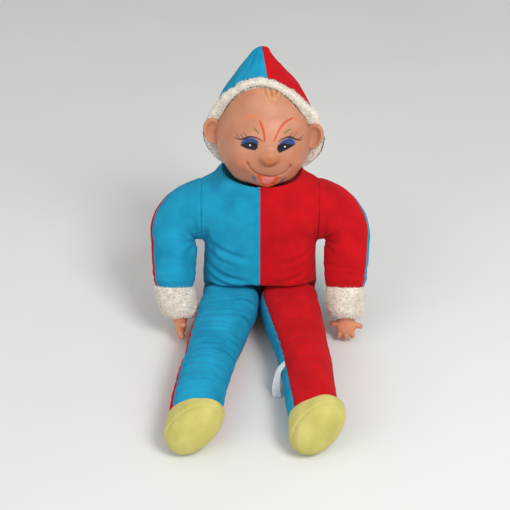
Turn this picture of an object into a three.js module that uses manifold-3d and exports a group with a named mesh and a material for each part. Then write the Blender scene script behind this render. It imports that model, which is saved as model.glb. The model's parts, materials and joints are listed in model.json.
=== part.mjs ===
import * as THREE from 'three';
import { mergeVertices } from 'three/addons/utils/BufferGeometryUtils.js';
import Module from 'manifold-3d';

// Clown doll, seated. Millimetres, +Z up, the face looks along -Y.
// The doll's own right is at -X, its left at +X.

const wasm = await Module();
wasm.setup();
const { degToRad, lerp, smoothstep } = THREE.MathUtils;

// Cloth and seams
const clothThickness = 1.6;
const seamGap = 0.3;
const restFlat = 0.5;

// Torso
const lean = degToRad(12);
const torsoHeight = 219;
const torsoHalfWidth = 83;
const torsoHalfDepth = 55;
const torsoPower = 2.5;
const sideSeamBack = 14;
const torsoProfile = [
  [0, 0.76, 0.78],
  [0.05, 0.93, 0.94],
  [0.2, 1, 1.02],
  [0.45, 0.98, 1],
  [0.68, 0.96, 0.98],
  [0.84, 0.91, 0.93],
  [0.94, 0.79, 0.91],
  [1, 0.63, 0.87],
];

// Shoulders and arms
const shoulderHalfSpan = 84;
const shoulderDrop = 57;
const shoulderRadius = 43;
const chestSwell = 4;
const armpitGap = 3;
const upperArmRadius = 31.5;
const wristRadius = 27.5;
const sleeveLength = 110;
const armSwing = degToRad(33);
const armSeamTurn = degToRad(24);

// Cuffs and hands
const cuffLength = 43;
const cuffRadius = 27;
const cuffWall = 6;
const cuffLip = 5;
const cuffLean = { right: 9, left: 0 };
const handTurn = { right: degToRad(-78), left: degToRad(-8) };
const palmHalfWidth = 15;
const palmHalfThickness = 8;
const palmHalfLength = 14;
const wristNeckRadius = 11.5;
const wristFlange = 3.5;
const wristFlangeLength = 5;
const fingerRadius = 4.3;
const fingerCurl = 1.5;
const fingers = [
  { root: [-7, -9], tip: [-20, -10] },
  { root: [-7, -18], tip: [-10, -27] },
  { root: [0, -20], tip: [0, -29] },
  { root: [7, -18], tip: [9, -27] },
  { root: [8, -9], tip: [20, -13] },
];

// Hips, legs and shoes
const hipHalfSpacing = 42;
const hipForward = 28;
const hipRadius = 36;
const hipHalfWidth = 41;
const hipPower = 3.4;
const hipLift = degToRad(20);
const legLength = 228;
const kneeRadius = 34.5;
const ankleRadius = 32;
const kneeOut = { right: 26, left: 17 };
const ankleOut = { right: 42, left: 27 };
const legSeamRoll = { right: degToRad(20), left: degToRad(30) };
const footRoll = { right: degToRad(48), left: degToRad(42) };
const footPitch = degToRad(16);
const footDepth = 38;
const footRoot = 14;
const footHalfLength = 42;
const footHalfWidth = 30;
const footToeShift = 5;
const soleStart = 0.66;
const footProfile = [
  [0, 0.77, 1.1],
  [0.2, 0.9, 1.1],
  [0.48, 1, 1.05],
  [0.74, 0.96, 0.98],
  [0.92, 0.76, 0.76],
  [1, 0.45, 0.45],
];

// Label
const labelWidth = 11;
const labelThickness = 0.9;
const labelReach = 12;
const labelAside = 11;
const labelAlongLeg = 0.6;

// Head
const headAboveTorso = 51.1;
const headAside = 5;
const headTurn = degToRad(4);
const headTilt = degToRad(2);
const stuffingRadius = 63.5;
const vinylWall = 2.4;
const faceRadius = 66.5;
const hoodRadius = 70.5;
const hoodTip = 135;
const hoodBulge = 5;
const hoodTipBack = degToRad(5);
const hoodTipAside = degToRad(4);
const hoodFlare = 7;
const hoodSeamFront = [9, 71];
const tipSoftness = 0.07;
const openingTilt = degToRad(19);
const trimHalfWidth = 5.7;
const trimHalfHeight = 4.8;
const trimFlare = 4;
const trimFlareFrom = degToRad(15);
const trimFlareFull = degToRad(65);
const trimFlareLast = degToRad(100);
const trimFlareEnd = degToRad(138);
const collarClearance = 75;
const earHalfHeight = 18;
const earHalfReach = 13;
const earHalfThickness = 4.5;
const earRise = 7;
const earForward = 15;
const earFlare = degToRad(14);
const earTilt = degToRad(10);
const neckRadius = 18;
const neckDepth = 14;
const neckPlay = 0.8;
const neckOpening = 31;

// Face relief: longitude and latitude in degrees, spread in degrees, height in mm.
// The mask sits a little round from the middle of the hood, by faceTurn degrees.
const faceTurn = 9;
const faceRelief = [
  [-33, -14, 20, 3.2],
  [33, -15, 20, 3.2],
  [1, -8, 10, 8.5],
  [1, -28, 17, 3.4],
  [1, -52, 14, 6.3],
  [-43, -44, 20, 4.5],
  [44, -46, 19, 4.5],
  [-22, 4, 10, -1.4],
  [21, 3, 10, -1.4],
  [0, 34, 26, 1.5],
  [12, 63, 7, 2.6],
];
const reliefRoundness = 2.4;

// Mesh fineness: points round a skin, and half of them round the filling inside it
const skinPoints = 16;
const fillPoints = 8;
const torsoRings = 8;
const limbRings = 4;
const bendRings = 4;
const trimSteps = 36;
const trimPoints = 8;
const maskPoints = 40;

// Finishes
const finishes = {
  blueCloth: { color: '#1f98bb', roughness: 0.92, metalness: 0 },
  redCloth: { color: '#cc1822', roughness: 0.92, metalness: 0 },
  plush: { color: '#e1d9c9', roughness: 1, metalness: 0 },
  yellowFelt: { color: '#d9cc70', roughness: 0.95, metalness: 0 },
  vinyl: { color: '#d8946f', roughness: 0.5, metalness: 0 },
  wadding: { color: '#ece6d9', roughness: 1, metalness: 0 },
  ribbon: { color: '#e4e7e9', roughness: 0.7, metalness: 0 },
};

const axisX = new THREE.Vector3(1, 0, 0);
const axisY = new THREE.Vector3(0, 1, 0);
const axisZ = new THREE.Vector3(0, 0, 1);
const torsoAxis = new THREE.Vector3(0, Math.sin(lean), Math.cos(lean));
const hugeSpan = 1200;

// Wraps an index so that the triangles face outward.
function facingOut(geometry) {
  const position = geometry.getAttribute('position');
  const index = Array.from(geometry.index.array);
  const a = new THREE.Vector3();
  const b = new THREE.Vector3();
  const c = new THREE.Vector3();
  let volume = 0;
  for (let i = 0; i < index.length; i += 3) {
    a.fromBufferAttribute(position, index[i]);
    b.fromBufferAttribute(position, index[i + 1]);
    c.fromBufferAttribute(position, index[i + 2]);
    volume += a.dot(b.cross(c));
  }
  if (volume < 0) {
    index.reverse();
  }
  geometry.setIndex(index);
  return geometry;
}

function solidOf(geometry) {
  const bare = new THREE.BufferGeometry();
  bare.setAttribute('position', geometry.getAttribute('position').clone());
  bare.setIndex(geometry.index ? geometry.index.clone() : null);
  const merged = facingOut(mergeVertices(bare, 1e-4));
  const index = merged.index.array;
  const kept = [];
  for (let i = 0; i < index.length; i += 3) {
    const [p, q, r] = [index[i], index[i + 1], index[i + 2]];
    if (p !== q && q !== r && r !== p) {
      kept.push(p, q, r);
    }
  }
  return new wasm.Manifold(new wasm.Mesh({
    numProp: 3,
    vertProperties: Float32Array.from(merged.getAttribute('position').array),
    triVerts: Uint32Array.from(kept),
  }));
}

function piece(name, solid, finish) {
  const mesh = solid.getMesh();
  const geometry = new THREE.BufferGeometry();
  geometry.setAttribute('position', new THREE.BufferAttribute(Float32Array.from(mesh.vertProperties), 3));
  geometry.setIndex(new THREE.BufferAttribute(Uint32Array.from(mesh.triVerts), 1));
  geometry.computeVertexNormals();
  const node = new THREE.Mesh(geometry, new THREE.MeshStandardMaterial(finish));
  node.name = name;
  return node;
}

// All space on the side of a plane that the normal points to.
function halfSpace(normal, point) {
  const box = new THREE.BoxGeometry(hugeSpan, hugeSpan, hugeSpan);
  box.translate(0, 0, hugeSpan / 2);
  box.applyQuaternion(new THREE.Quaternion().setFromUnitVectors(axisZ, normal.clone().normalize()));
  box.translate(point.x, point.y, point.z);
  return solidOf(box);
}

function ball(centre, radius, segments = 24) {
  const geometry = new THREE.SphereGeometry(radius, segments, segments / 2);
  geometry.translate(centre.x, centre.y, centre.z);
  return solidOf(geometry);
}

// A rod between two points, closed by flat ends.
function rod(from, to, radius, segments = skinPoints) {
  const span = to.clone().sub(from);
  const geometry = new THREE.CylinderGeometry(radius, radius, span.length(), segments);
  geometry.applyQuaternion(new THREE.Quaternion().setFromUnitVectors(axisY, span.clone().normalize()));
  const middle = from.clone().add(to).multiplyScalar(0.5);
  geometry.translate(middle.x, middle.y, middle.z);
  return solidOf(geometry);
}

function smoothRows(rows, count) {
  const points = rows.map((row) => new THREE.Vector3(...row));
  return new THREE.CatmullRomCurve3(points, false, 'centripetal').getPoints(count);
}

function rounded(value, power) {
  return Math.sign(value) * Math.abs(value) ** (2 / power);
}

// One closed outline of a soft form, an ellipse when the power is 2 and squarer above it.
function outline(centre, across, along, halfAcross, halfAlong, power = 2, count = skinPoints) {
  return Array.from({ length: count }, (_, step) => {
    const angle = (2 * Math.PI * step) / count;
    return centre.clone()
      .addScaledVector(across, halfAcross * rounded(Math.cos(angle), power))
      .addScaledVector(along, halfAlong * rounded(Math.sin(angle), power));
  });
}

// Skin over a row of outlines, capped at both ends or joined end to end.
function loft(rings, joined = false) {
  const count = rings[0].length;
  const points = rings.flat();
  const index = [];
  const bands = joined ? rings.length : rings.length - 1;
  for (let band = 0; band < bands; band += 1) {
    const here = band * count;
    const next = ((band + 1) % rings.length) * count;
    for (let step = 0; step < count; step += 1) {
      const turn = (step + 1) % count;
      index.push(here + step, here + turn, next + turn);
      index.push(here + step, next + turn, next + step);
    }
  }
  if (!joined) {
    const ends = [rings[0], rings[rings.length - 1]];
    ends.forEach((ring, end) => {
      const hub = points.length;
      const base = end * (rings.length - 1) * count;
      points.push(ring.reduce((sum, p) => sum.add(p), new THREE.Vector3()).divideScalar(count));
      for (let step = 0; step < count; step += 1) {
        const turn = (step + 1) % count;
        index.push(hub, base + (end ? step : turn), base + (end ? turn : step));
      }
    });
  }
  const geometry = new THREE.BufferGeometry().setFromPoints(points);
  geometry.setIndex(index);
  return solidOf(geometry);
}

// A ball whose radius depends on the direction from its centre. Its grid closes up at the given pole.
function swollenBall(radiusAt, wide, high, pole = axisZ) {
  const geometry = new THREE.SphereGeometry(1, wide, high);
  geometry.applyQuaternion(new THREE.Quaternion().setFromUnitVectors(axisY, pole));
  const position = geometry.getAttribute('position');
  const direction = new THREE.Vector3();
  for (let i = 0; i < position.count; i += 1) {
    direction.fromBufferAttribute(position, i).normalize();
    direction.multiplyScalar(radiusAt(direction));
    position.setXYZ(i, direction.x, direction.y, direction.z);
  }
  return solidOf(geometry);
}

// Splits a solid at a plane and leaves a seam gap between the two sides.
function splitAt(solid, normal, point) {
  const unit = normal.clone().normalize();
  const near = point.clone().addScaledVector(unit, seamGap / 2);
  const far = point.clone().addScaledVector(unit, -seamGap / 2);
  const front = solid.intersect(halfSpace(unit, near));
  const back = solid.intersect(halfSpace(unit.clone().negate(), far));
  return [front, back];
}

// Front and back cloth of a limb: the colours swap from one side to the other.
function suitFinishes(side) {
  const { blueCloth, redCloth } = finishes;
  return side < 0 ? [blueCloth, redCloth] : [redCloth, blueCloth];
}

const torsoLength = torsoHeight / Math.cos(lean);
const shoulderCentre = torsoAxis.clone().multiplyScalar(torsoLength - shoulderDrop);
const headCentre = torsoAxis.clone().multiplyScalar(torsoLength + headAboveTorso)
  .addScaledVector(axisX, headAside);
const neckFoot = headCentre.clone().addScaledVector(torsoAxis, -collarClearance - neckDepth);
const hipHeight = hipRadius - restFlat;
const sleeveOut = 2 * armpitGap + upperArmRadius;
const packedInset = clothThickness + seamGap;

// Room for the rounded tops of the legs, and for the legs on their way up and down.
function hipRecess(clearance) {
  const radius = hipRadius + clearance;
  const top = Math.PI / 2 - hipLift;
  const reach = 200;
  const shape = new THREE.Shape();
  shape.moveTo(-hipForward + radius, -reach);
  shape.lineTo(-hipForward + radius, hipHeight);
  shape.absarc(-hipForward, hipHeight, radius, 0, top, false);
  shape.lineTo(
    -hipForward + radius * Math.cos(top) - reach * Math.cos(hipLift),
    hipHeight + radius * Math.sin(top) + reach * Math.sin(hipLift),
  );
  shape.lineTo(-hipForward - reach, -reach);
  const geometry = new THREE.ExtrudeGeometry(shape, {
    depth: 2 * reach,
    bevelEnabled: false,
    curveSegments: 14,
  });
  geometry.translate(0, 0, -reach);
  const turn = new THREE.Matrix4().makeBasis(axisY, axisZ, axisX);
  geometry.applyMatrix4(turn);
  return solidOf(geometry);
}

function torsoForm(inset, points) {
  const rings = smoothRows(torsoProfile, torsoRings).map(({ x: rise, y: wide, z: deep }) => {
    const height = lerp(inset, torsoHeight - inset, rise);
    const centre = new THREE.Vector3(0, height * Math.tan(lean), height);
    const halfWidth = torsoHalfWidth * wide - inset;
    const halfDepth = torsoHalfDepth * deep - inset;
    return outline(centre, axisX, axisY, halfWidth, halfDepth, torsoPower, points);
  });
  const yokeRings = [-1, -0.6, -0.2, 0.2, 0.6, 1].map((part) => {
    const centre = shoulderCentre.clone().addScaledVector(axisX, part * (shoulderHalfSpan - inset));
    const radius = shoulderRadius + chestSwell * (1 - part * part) - inset;
    return outline(centre, axisY, axisZ, radius, radius, 2, points);
  });
  const neckSeat = ball(headCentre, collarClearance + inset);
  return loft(rings).add(loft(yokeRings)).subtract(hipRecess(seamGap + inset)).subtract(neckSeat);
}

function torso() {
  const group = new THREE.Group();
  group.name = 'torso';
  const neckSocket = rod(neckFoot, headCentre, (neckRadius + seamGap) / Math.cos(Math.PI / skinPoints));
  const inside = torsoForm(clothThickness, skinPoints);
  const cloth = torsoForm(0, skinPoints).subtract(inside).subtract(neckSocket);
  const sideSeam = new THREE.Vector3(0, -Math.cos(lean), Math.sin(lean));
  const centre = new THREE.Vector3();
  const [front, back] = splitAt(cloth, sideSeam, new THREE.Vector3(0, sideSeamBack, 0));
  const [frontLeft, frontRight] = splitAt(front, axisX, centre);
  const [backLeft, backRight] = splitAt(back, axisX, centre);
  group.add(piece('torso_front_right', frontRight, finishes.blueCloth));
  group.add(piece('torso_front_left', frontLeft, finishes.redCloth));
  group.add(piece('torso_back_right', backRight, finishes.redCloth));
  group.add(piece('torso_back_left', backLeft, finishes.blueCloth));
  const filling = torsoForm(packedInset, fillPoints).subtract(neckSocket);
  group.add(piece('torso_stuffing', filling, finishes.wadding));
  return group;
}

function neck() {
  const foot = neckFoot.clone().addScaledVector(torsoAxis, seamGap);
  const seat = ball(headCentre, stuffingRadius + neckPlay, 3 * skinPoints);
  const stem = rod(foot, headCentre, neckRadius).subtract(seat);
  const group = new THREE.Group();
  group.name = 'neck';
  group.add(piece('neck_stem', stem, finishes.redCloth));
  return group;
}

// Arm built hanging straight down from the shoulder centre, outward along side * X.
// The reach carries the form on past the sleeve end, for a hollow that is open there.
function armForm(side, inset, points, reach = 0) {
  const armpit = new THREE.Vector3(side * armpitGap, 0, -shoulderRadius - armpitGap);
  const outward = new THREE.Vector3(side, 0, 0);
  const rings = [];
  for (let step = 0; step <= bendRings; step += 1) {
    const part = step / bendRings;
    const angle = (part * Math.PI) / 2;
    const radius = lerp(shoulderRadius, upperArmRadius, part ** 0.7);
    const spoke = new THREE.Vector3(side * Math.sin(angle), 0, Math.cos(angle));
    const centre = armpit.clone().addScaledVector(spoke, radius + armpitGap);
    if (step === 0) {
      centre.addScaledVector(outward, inset - armpitGap);
    }
    rings.push(outline(centre, spoke, axisY, radius - inset, radius - inset, 2, points));
  }
  for (let step = 1; step <= limbRings; step += 1) {
    const part = step / limbRings;
    const drop = lerp(shoulderRadius + armpitGap, sleeveLength, part);
    const radius = lerp(upperArmRadius, wristRadius, part ** 2) - inset;
    const centre = new THREE.Vector3(side * sleeveOut, 0, -drop);
    rings.push(outline(centre, outward, axisY, radius, radius, 2, points));
  }
  if (reach > 0) {
    const centre = new THREE.Vector3(side * sleeveOut, 0, -sleeveLength - reach);
    rings.push(outline(centre, outward, axisY, wristRadius - inset, wristRadius - inset, 2, points));
  }
  return loft(rings);
}

// How far a cuff is drawn aside at a height below its top.
function cuffAside(lean, rise) {
  return lean * THREE.MathUtils.clamp(-rise / (cuffLength - cuffLip), 0, 1);
}

// Pile cuff: a sleeve that closes to a lip round the wrist, its end drawn aside.
function cuffForm(lean) {
  const bore = cuffRadius - cuffWall;
  const hole = wristNeckRadius + seamGap;
  const end = -cuffLength;
  const profile = [
    [bore, 0],
    [wristRadius - clothThickness, 0],
    [cuffRadius, -0.1 * cuffLength],
    [cuffRadius, -0.55 * cuffLength],
    [cuffRadius - 0.3 * cuffWall, 0.8 * end],
    [cuffRadius - cuffWall, 0.97 * end],
    [hole + 0.4 * cuffLip, end],
    [hole, end + 0.2 * cuffLip],
    [hole, end + cuffLip],
    [bore, end + cuffLip],
    [bore, 0],
  ];
  const geometry = new THREE.LatheGeometry(profile.map((p) => new THREE.Vector2(...p)), skinPoints);
  geometry.rotateX(Math.PI / 2);
  const position = geometry.getAttribute('position');
  for (let i = 0; i < position.count; i += 1) {
    position.setX(i, position.getX(i) + cuffAside(lean, position.getZ(i)));
  }
  return geometry;
}

function arm(label, side) {
  const group = new THREE.Group();
  group.name = `${label}_arm`;
  group.position.copy(shoulderCentre).addScaledVector(axisX, side * (shoulderHalfSpan + seamGap));
  group.rotation.x = -armSwing;
  const wrist = new THREE.Vector3(side * sleeveOut, 0, -sleeveLength);
  const along = (rise) => wrist.clone().addScaledVector(axisZ, rise);
  const inside = armForm(side, clothThickness, skinPoints, cuffWall);
  const cloth = armForm(side, 0, skinPoints).subtract(inside);
  const seam = new THREE.Vector3(-side * Math.sin(armSeamTurn), -Math.cos(armSeamTurn), 0);
  const [front, back] = splitAt(cloth, seam, wrist);
  const [frontFinish, backFinish] = suitFinishes(side);
  group.add(piece(`${label}_arm_front`, front, frontFinish));
  group.add(piece(`${label}_arm_back`, back, backFinish));

  const aside = -side * cuffLean[label];
  const drawn = (rise) => along(rise).addScaledVector(axisX, cuffAside(aside, rise + seamGap));
  const cuff = cuffForm(aside);
  cuff.translate(wrist.x, 0, wrist.z - seamGap);
  group.add(piece(`${label}_cuff`, solidOf(cuff), finishes.plush));

  const cuffEnd = -cuffLength - seamGap;
  const flangeTop = cuffEnd + cuffLip + seamGap + wristFlangeLength;
  const plugRadius = cuffRadius - cuffWall - 2 * seamGap;
  const plug = loft([flangeTop + seamGap, 0, cuffWall].map((rise) => (
    outline(drawn(rise), axisX, axisY, plugRadius, plugRadius, 2, fillPoints)
  )));
  const filling = armForm(side, packedInset, fillPoints).add(plug);
  group.add(piece(`${label}_arm_stuffing`, filling, finishes.wadding));

  const palm = hand(label, side);
  palm.position.copy(drawn(cuffEnd));
  palm.rotation.z = handTurn[label];
  group.add(palm);
  return group;
}

// Hand hanging from the cuff end: thumb on the inner side, palm to the back.
function hand(label, side) {
  const palm = new THREE.SphereGeometry(1, 14, 8);
  palm.scale(palmHalfWidth, palmHalfThickness, palmHalfLength);
  palm.translate(0, 0, -0.86 * palmHalfLength);
  const neckTop = cuffLip + seamGap;
  const at = (height) => new THREE.Vector3(0, 0, height);
  const stub = rod(at(0), at(neckTop + seamGap), wristNeckRadius);
  const flange = rod(at(neckTop), at(neckTop + wristFlangeLength), wristNeckRadius + wristFlange);
  const heelRings = [1, 0.5, 0].map((part) => {
    const wide = lerp(0.9 * palmHalfWidth, wristNeckRadius, part);
    const deep = lerp(0.95 * palmHalfThickness, wristNeckRadius, part);
    return outline(at(lerp(-palmHalfLength, seamGap, part)), axisX, axisY, wide, deep, 2, skinPoints);
  });
  let form = stub.add(flange).add(loft(heelRings)).add(solidOf(palm));
  for (const finger of fingers) {
    const root = new THREE.Vector3(side * finger.root[0], 0, finger.root[1]);
    const tip = new THREE.Vector3(side * finger.tip[0], fingerCurl, finger.tip[1]);
    const reach = tip.clone().sub(root);
    const capsule = new THREE.CapsuleGeometry(fingerRadius, reach.length(), 3, 7, 1);
    capsule.applyQuaternion(new THREE.Quaternion().setFromUnitVectors(axisY, reach.clone().normalize()));
    const middle = root.clone().add(tip).multiplyScalar(0.5);
    capsule.translate(middle.x, middle.y, middle.z);
    form = form.add(solidOf(capsule));
  }
  const group = new THREE.Group();
  group.name = `${label}_wrist`;
  group.add(piece(`${label}_hand`, form, finishes.vinyl));
  return group;
}

function legPath(label, side) {
  return new THREE.CatmullRomCurve3([
    new THREE.Vector3(0, 0, 0),
    new THREE.Vector3(side * kneeOut[label], -0.5 * legLength, kneeRadius - hipRadius),
    new THREE.Vector3(side * ankleOut[label], -legLength, ankleRadius - hipRadius),
  ]);
}

// Level direction across a limb, towards +X.
function acrossOf(run) {
  const level = new THREE.Vector3().crossVectors(axisZ, run).normalize();
  return level.x > 0 ? level : level.negate();
}

// Leg built along -Y from the hip, with a rounded top that turns about the hip line.
// The reach carries the form on past the ankle, for a hollow that is open there.
function legForm(label, side, inset, points, reach = 0) {
  const halfWidth = hipHalfWidth - inset;
  const radius = hipRadius - inset;
  const knuckle = [];
  for (let step = 0; step <= points / 2; step += 1) {
    const angle = (2 * Math.PI * step) / points;
    const across = -halfWidth * rounded(Math.cos(angle), hipPower);
    const end = step === 0 || step === points / 2;
    knuckle.push(new THREE.Vector2(end ? 0 : radius * rounded(Math.sin(angle), hipPower), across));
  }
  const top = new THREE.LatheGeometry(knuckle, points);
  top.rotateZ(-Math.PI / 2);
  const path = legPath(label, side);
  const rings = [];
  for (let step = 0; step <= limbRings; step += 1) {
    const part = step / limbRings;
    const across = step === 0 ? axisX : acrossOf(path.getTangent(part));
    const thigh = lerp(hipRadius, kneeRadius, Math.min(1, 2 * part));
    const calf = lerp(0, ankleRadius - kneeRadius, Math.max(0, 2 * part - 1));
    const wide = lerp(hipHalfWidth - hipRadius, 0, Math.min(1, 2 * part));
    const high = thigh + calf - inset;
    const power = lerp(hipPower, 2, Math.min(1, 2.4 * part));
    rings.push(outline(path.getPoint(part), across, axisZ, high + wide, high, power, points));
  }
  if (reach > 0) {
    const run = path.getTangent(1);
    const end = path.getPoint(1).addScaledVector(run, reach);
    rings.push(outline(end, acrossOf(run), axisZ, ankleRadius - inset, ankleRadius - inset, 2, points));
  }
  return solidOf(top).add(loft(rings));
}

function footFrame(label, side) {
  const path = legPath(label, side);
  const start = path.getPoint(1);
  const ahead = path.getTangent(1).setZ(0).normalize();
  const roll = footRoll[label];
  const upright = axisZ.clone().multiplyScalar(Math.cos(roll))
    .addScaledVector(acrossOf(ahead), Math.sin(roll));
  const width = new THREE.Vector3().crossVectors(ahead, upright).normalize();
  const toe = upright.clone().multiplyScalar(Math.cos(footPitch))
    .addScaledVector(ahead, -Math.sin(footPitch));
  const facing = ahead.clone().multiplyScalar(Math.cos(footPitch))
    .addScaledVector(upright, Math.sin(footPitch));
  const support = Math.hypot(footHalfLength * toe.z, footHalfWidth * width.z);
  return { start, ahead, toe, width, facing, rise: support - ankleRadius };
}

function footForm(label, side, inset, points) {
  const { start, ahead, toe, width, rise } = footFrame(label, side);
  const rings = smoothRows(footProfile, limbRings).map(({ x: part, y: long, z: wide }) => {
    const centre = start.clone()
      .addScaledVector(ahead, lerp(-footRoot, footDepth - inset, part))
      .addScaledVector(axisZ, rise * Math.min(1, 2.5 * part))
      .addScaledVector(toe, footToeShift * part);
    const halfLength = footHalfLength * long - inset;
    const halfWidth = footHalfWidth * wide - inset;
    return outline(centre, toe, width, halfLength, halfWidth, 2.1, points);
  });
  return loft(rings);
}

function leg(label, side) {
  const group = new THREE.Group();
  group.name = `${label}_leg`;
  group.position.set(side * hipHalfSpacing, -hipForward, hipHeight);
  const rested = (form, inset) => {
    const floor = new THREE.Vector3(0, 0, -hipHeight + inset);
    return form.intersect(halfSpace(axisZ, floor));
  };
  const { start, ahead, facing } = footFrame(label, side);
  const legSide = halfSpace(ahead.clone().negate(), start);
  const footSide = halfSpace(ahead, start.clone().addScaledVector(ahead, seamGap));

  const path = legPath(label, side);
  const seam = axisZ.clone().multiplyScalar(Math.cos(legSeamRoll[label]))
    .addScaledVector(acrossOf(start), Math.sin(legSeamRoll[label]));
  const inside = rested(legForm(label, side, clothThickness, skinPoints, footRoot), clothThickness);
  const outside = rested(legForm(label, side, 0, skinPoints), 0);
  const cloth = outside.subtract(inside).intersect(legSide);
  const [front, back] = splitAt(cloth, seam, new THREE.Vector3());
  const [frontFinish, backFinish] = suitFinishes(side);
  group.add(piece(`${label}_leg_front`, front, frontFinish));
  group.add(piece(`${label}_leg_back`, back, backFinish));
  const filling = rested(legForm(label, side, packedInset, fillPoints), packedInset).intersect(legSide);
  group.add(piece(`${label}_leg_stuffing`, filling, finishes.wadding));

  const hollow = rested(footForm(label, side, clothThickness, skinPoints), clothThickness);
  const shell = rested(footForm(label, side, 0, skinPoints), 0).subtract(hollow).intersect(footSide);
  const welt = start.clone().addScaledVector(ahead, soleStart * footDepth);
  const [sole, upper] = splitAt(shell, facing, welt);
  group.add(piece(`${label}_shoe_upper`, upper, finishes.yellowFelt));
  group.add(piece(`${label}_shoe_sole`, sole, finishes.yellowFelt));
  const packing = rested(footForm(label, side, packedInset, fillPoints), packedInset).intersect(footSide);
  group.add(piece(`${label}_shoe_stuffing`, packing, finishes.wadding));
  if (label === 'left') {
    group.add(sewnLabel(path, seam));
  }
  return group;
}

// Blank ribbon label, caught in the inner leg seam and twisting down towards the floor.
function sewnLabel(path, seam) {
  const root = path.getPoint(labelAlongLeg);
  const run = path.getTangent(labelAlongLeg);
  const out = new THREE.Vector3().crossVectors(run, seam).normalize();
  const inner = out.x < 0 ? out : out.negate();
  const start = root.clone().addScaledVector(inner, kneeRadius + labelThickness);
  const drop = start.z + hipHeight - labelThickness;
  const curl = new THREE.CatmullRomCurve3([[0, 0, 0], [0.7, 0.2, -0.25], [1, 0.6, -0.7], [0.9, 1, -1]]
    .map(([aside, ahead, fall]) => start.clone()
      .addScaledVector(axisX, -aside * labelAside)
      .addScaledVector(axisY, -ahead * labelReach)
      .addScaledVector(axisZ, fall * drop)));
  const steps = 10;
  const rings = curl.getPoints(steps).map((centre, step) => {
    const part = step / steps;
    const tangent = curl.getTangent(part);
    const aim = axisY.clone().multiplyScalar(part - 1).addScaledVector(axisX, part);
    const through = new THREE.Vector3().crossVectors(tangent, aim).normalize();
    const across = new THREE.Vector3().crossVectors(through, tangent).normalize();
    return outline(centre, across, through, labelWidth / 2, labelThickness / 2, 8, 8);
  });
  return piece('sewn_label', loft(rings), finishes.ribbon);
}

function aimed(longitude, latitude) {
  const east = degToRad(longitude);
  const north = degToRad(latitude);
  return new THREE.Vector3(
    Math.cos(north) * Math.sin(east),
    -Math.cos(north) * Math.cos(east),
    Math.sin(north),
  );
}

const tipAim = new THREE.Vector3(-Math.sin(hoodTipAside), Math.sin(hoodTipBack), Math.cos(hoodTipBack));

// A ball drawn out to a tip, as a cone that leaves the ball without a step.
function coneAt(direction, inset) {
  const radius = hoodRadius - inset;
  const spread = Math.acos(radius / (hoodTip - 2 * inset));
  const away = Math.hypot(direction.angleTo(tipAim), tipSoftness);
  const bulge = hoodBulge * Math.sin(Math.PI * Math.min(1, away / spread));
  return radius / Math.cos(Math.max(0, spread - away)) + bulge;
}

// Hood surface: it stands off at the sides to meet the wide part of the plush band.
function hoodAt(direction, inset) {
  return coneAt(direction, inset) + hoodFlare * direction.x ** 2;
}

function coreAt(direction, clearance) {
  return coneAt(direction, hoodRadius - stuffingRadius) + clearance;
}

function faceAt(direction) {
  let radius = Math.max(faceRadius, coreAt(direction, seamGap + vinylWall));
  for (const [longitude, latitude, spread, height] of faceRelief) {
    const away = THREE.MathUtils.radToDeg(direction.angleTo(aimed(longitude + faceTurn, latitude)));
    radius += height * Math.exp(-((away / spread) ** reliefRoundness));
  }
  return radius;
}

function ear(side) {
  const shell = new THREE.SphereGeometry(1, 14, 10);
  shell.scale(earHalfReach, earHalfThickness, earHalfHeight);
  const dish = new THREE.SphereGeometry(1, 12, 8);
  dish.scale(0.62 * earHalfReach, earHalfThickness, 0.66 * earHalfHeight);
  dish.translate(side * 0.12 * earHalfReach, -0.8 * earHalfThickness, 0);
  for (const part of [shell, dish]) {
    part.rotateZ(-side * earFlare);
    part.rotateY(side * earTilt);
    part.translate(side * (faceRadius + 0.2 * earHalfReach), -earForward, earRise);
  }
  return solidOf(shell).subtract(solidOf(dish));
}

// Plush band round the face opening, widest beside the ears and open at the neck.
function trimForm(openingAxis) {
  const planeUp = new THREE.Vector3(0, openingAxis.z, -openingAxis.y);
  const rings = [];
  for (let step = 0; step < trimSteps; step += 1) {
    const angle = (2 * Math.PI * step) / trimSteps;
    const out = axisX.clone().multiplyScalar(Math.sin(angle)).addScaledVector(planeUp, Math.cos(angle));
    const aside = Math.min(angle, 2 * Math.PI - angle);
    const widening = smoothstep(aside, trimFlareFrom, trimFlareFull);
    const narrowing = smoothstep(aside, trimFlareLast, trimFlareEnd);
    const halfHeight = trimHalfHeight + trimFlare * (widening - narrowing);
    const centre = out.clone().multiplyScalar(coreAt(out, 2 * seamGap + halfHeight));
    rings.push(outline(centre, out, openingAxis, halfHeight, trimHalfWidth, 2.2, trimPoints));
  }
  return loft(rings, true);
}

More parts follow.
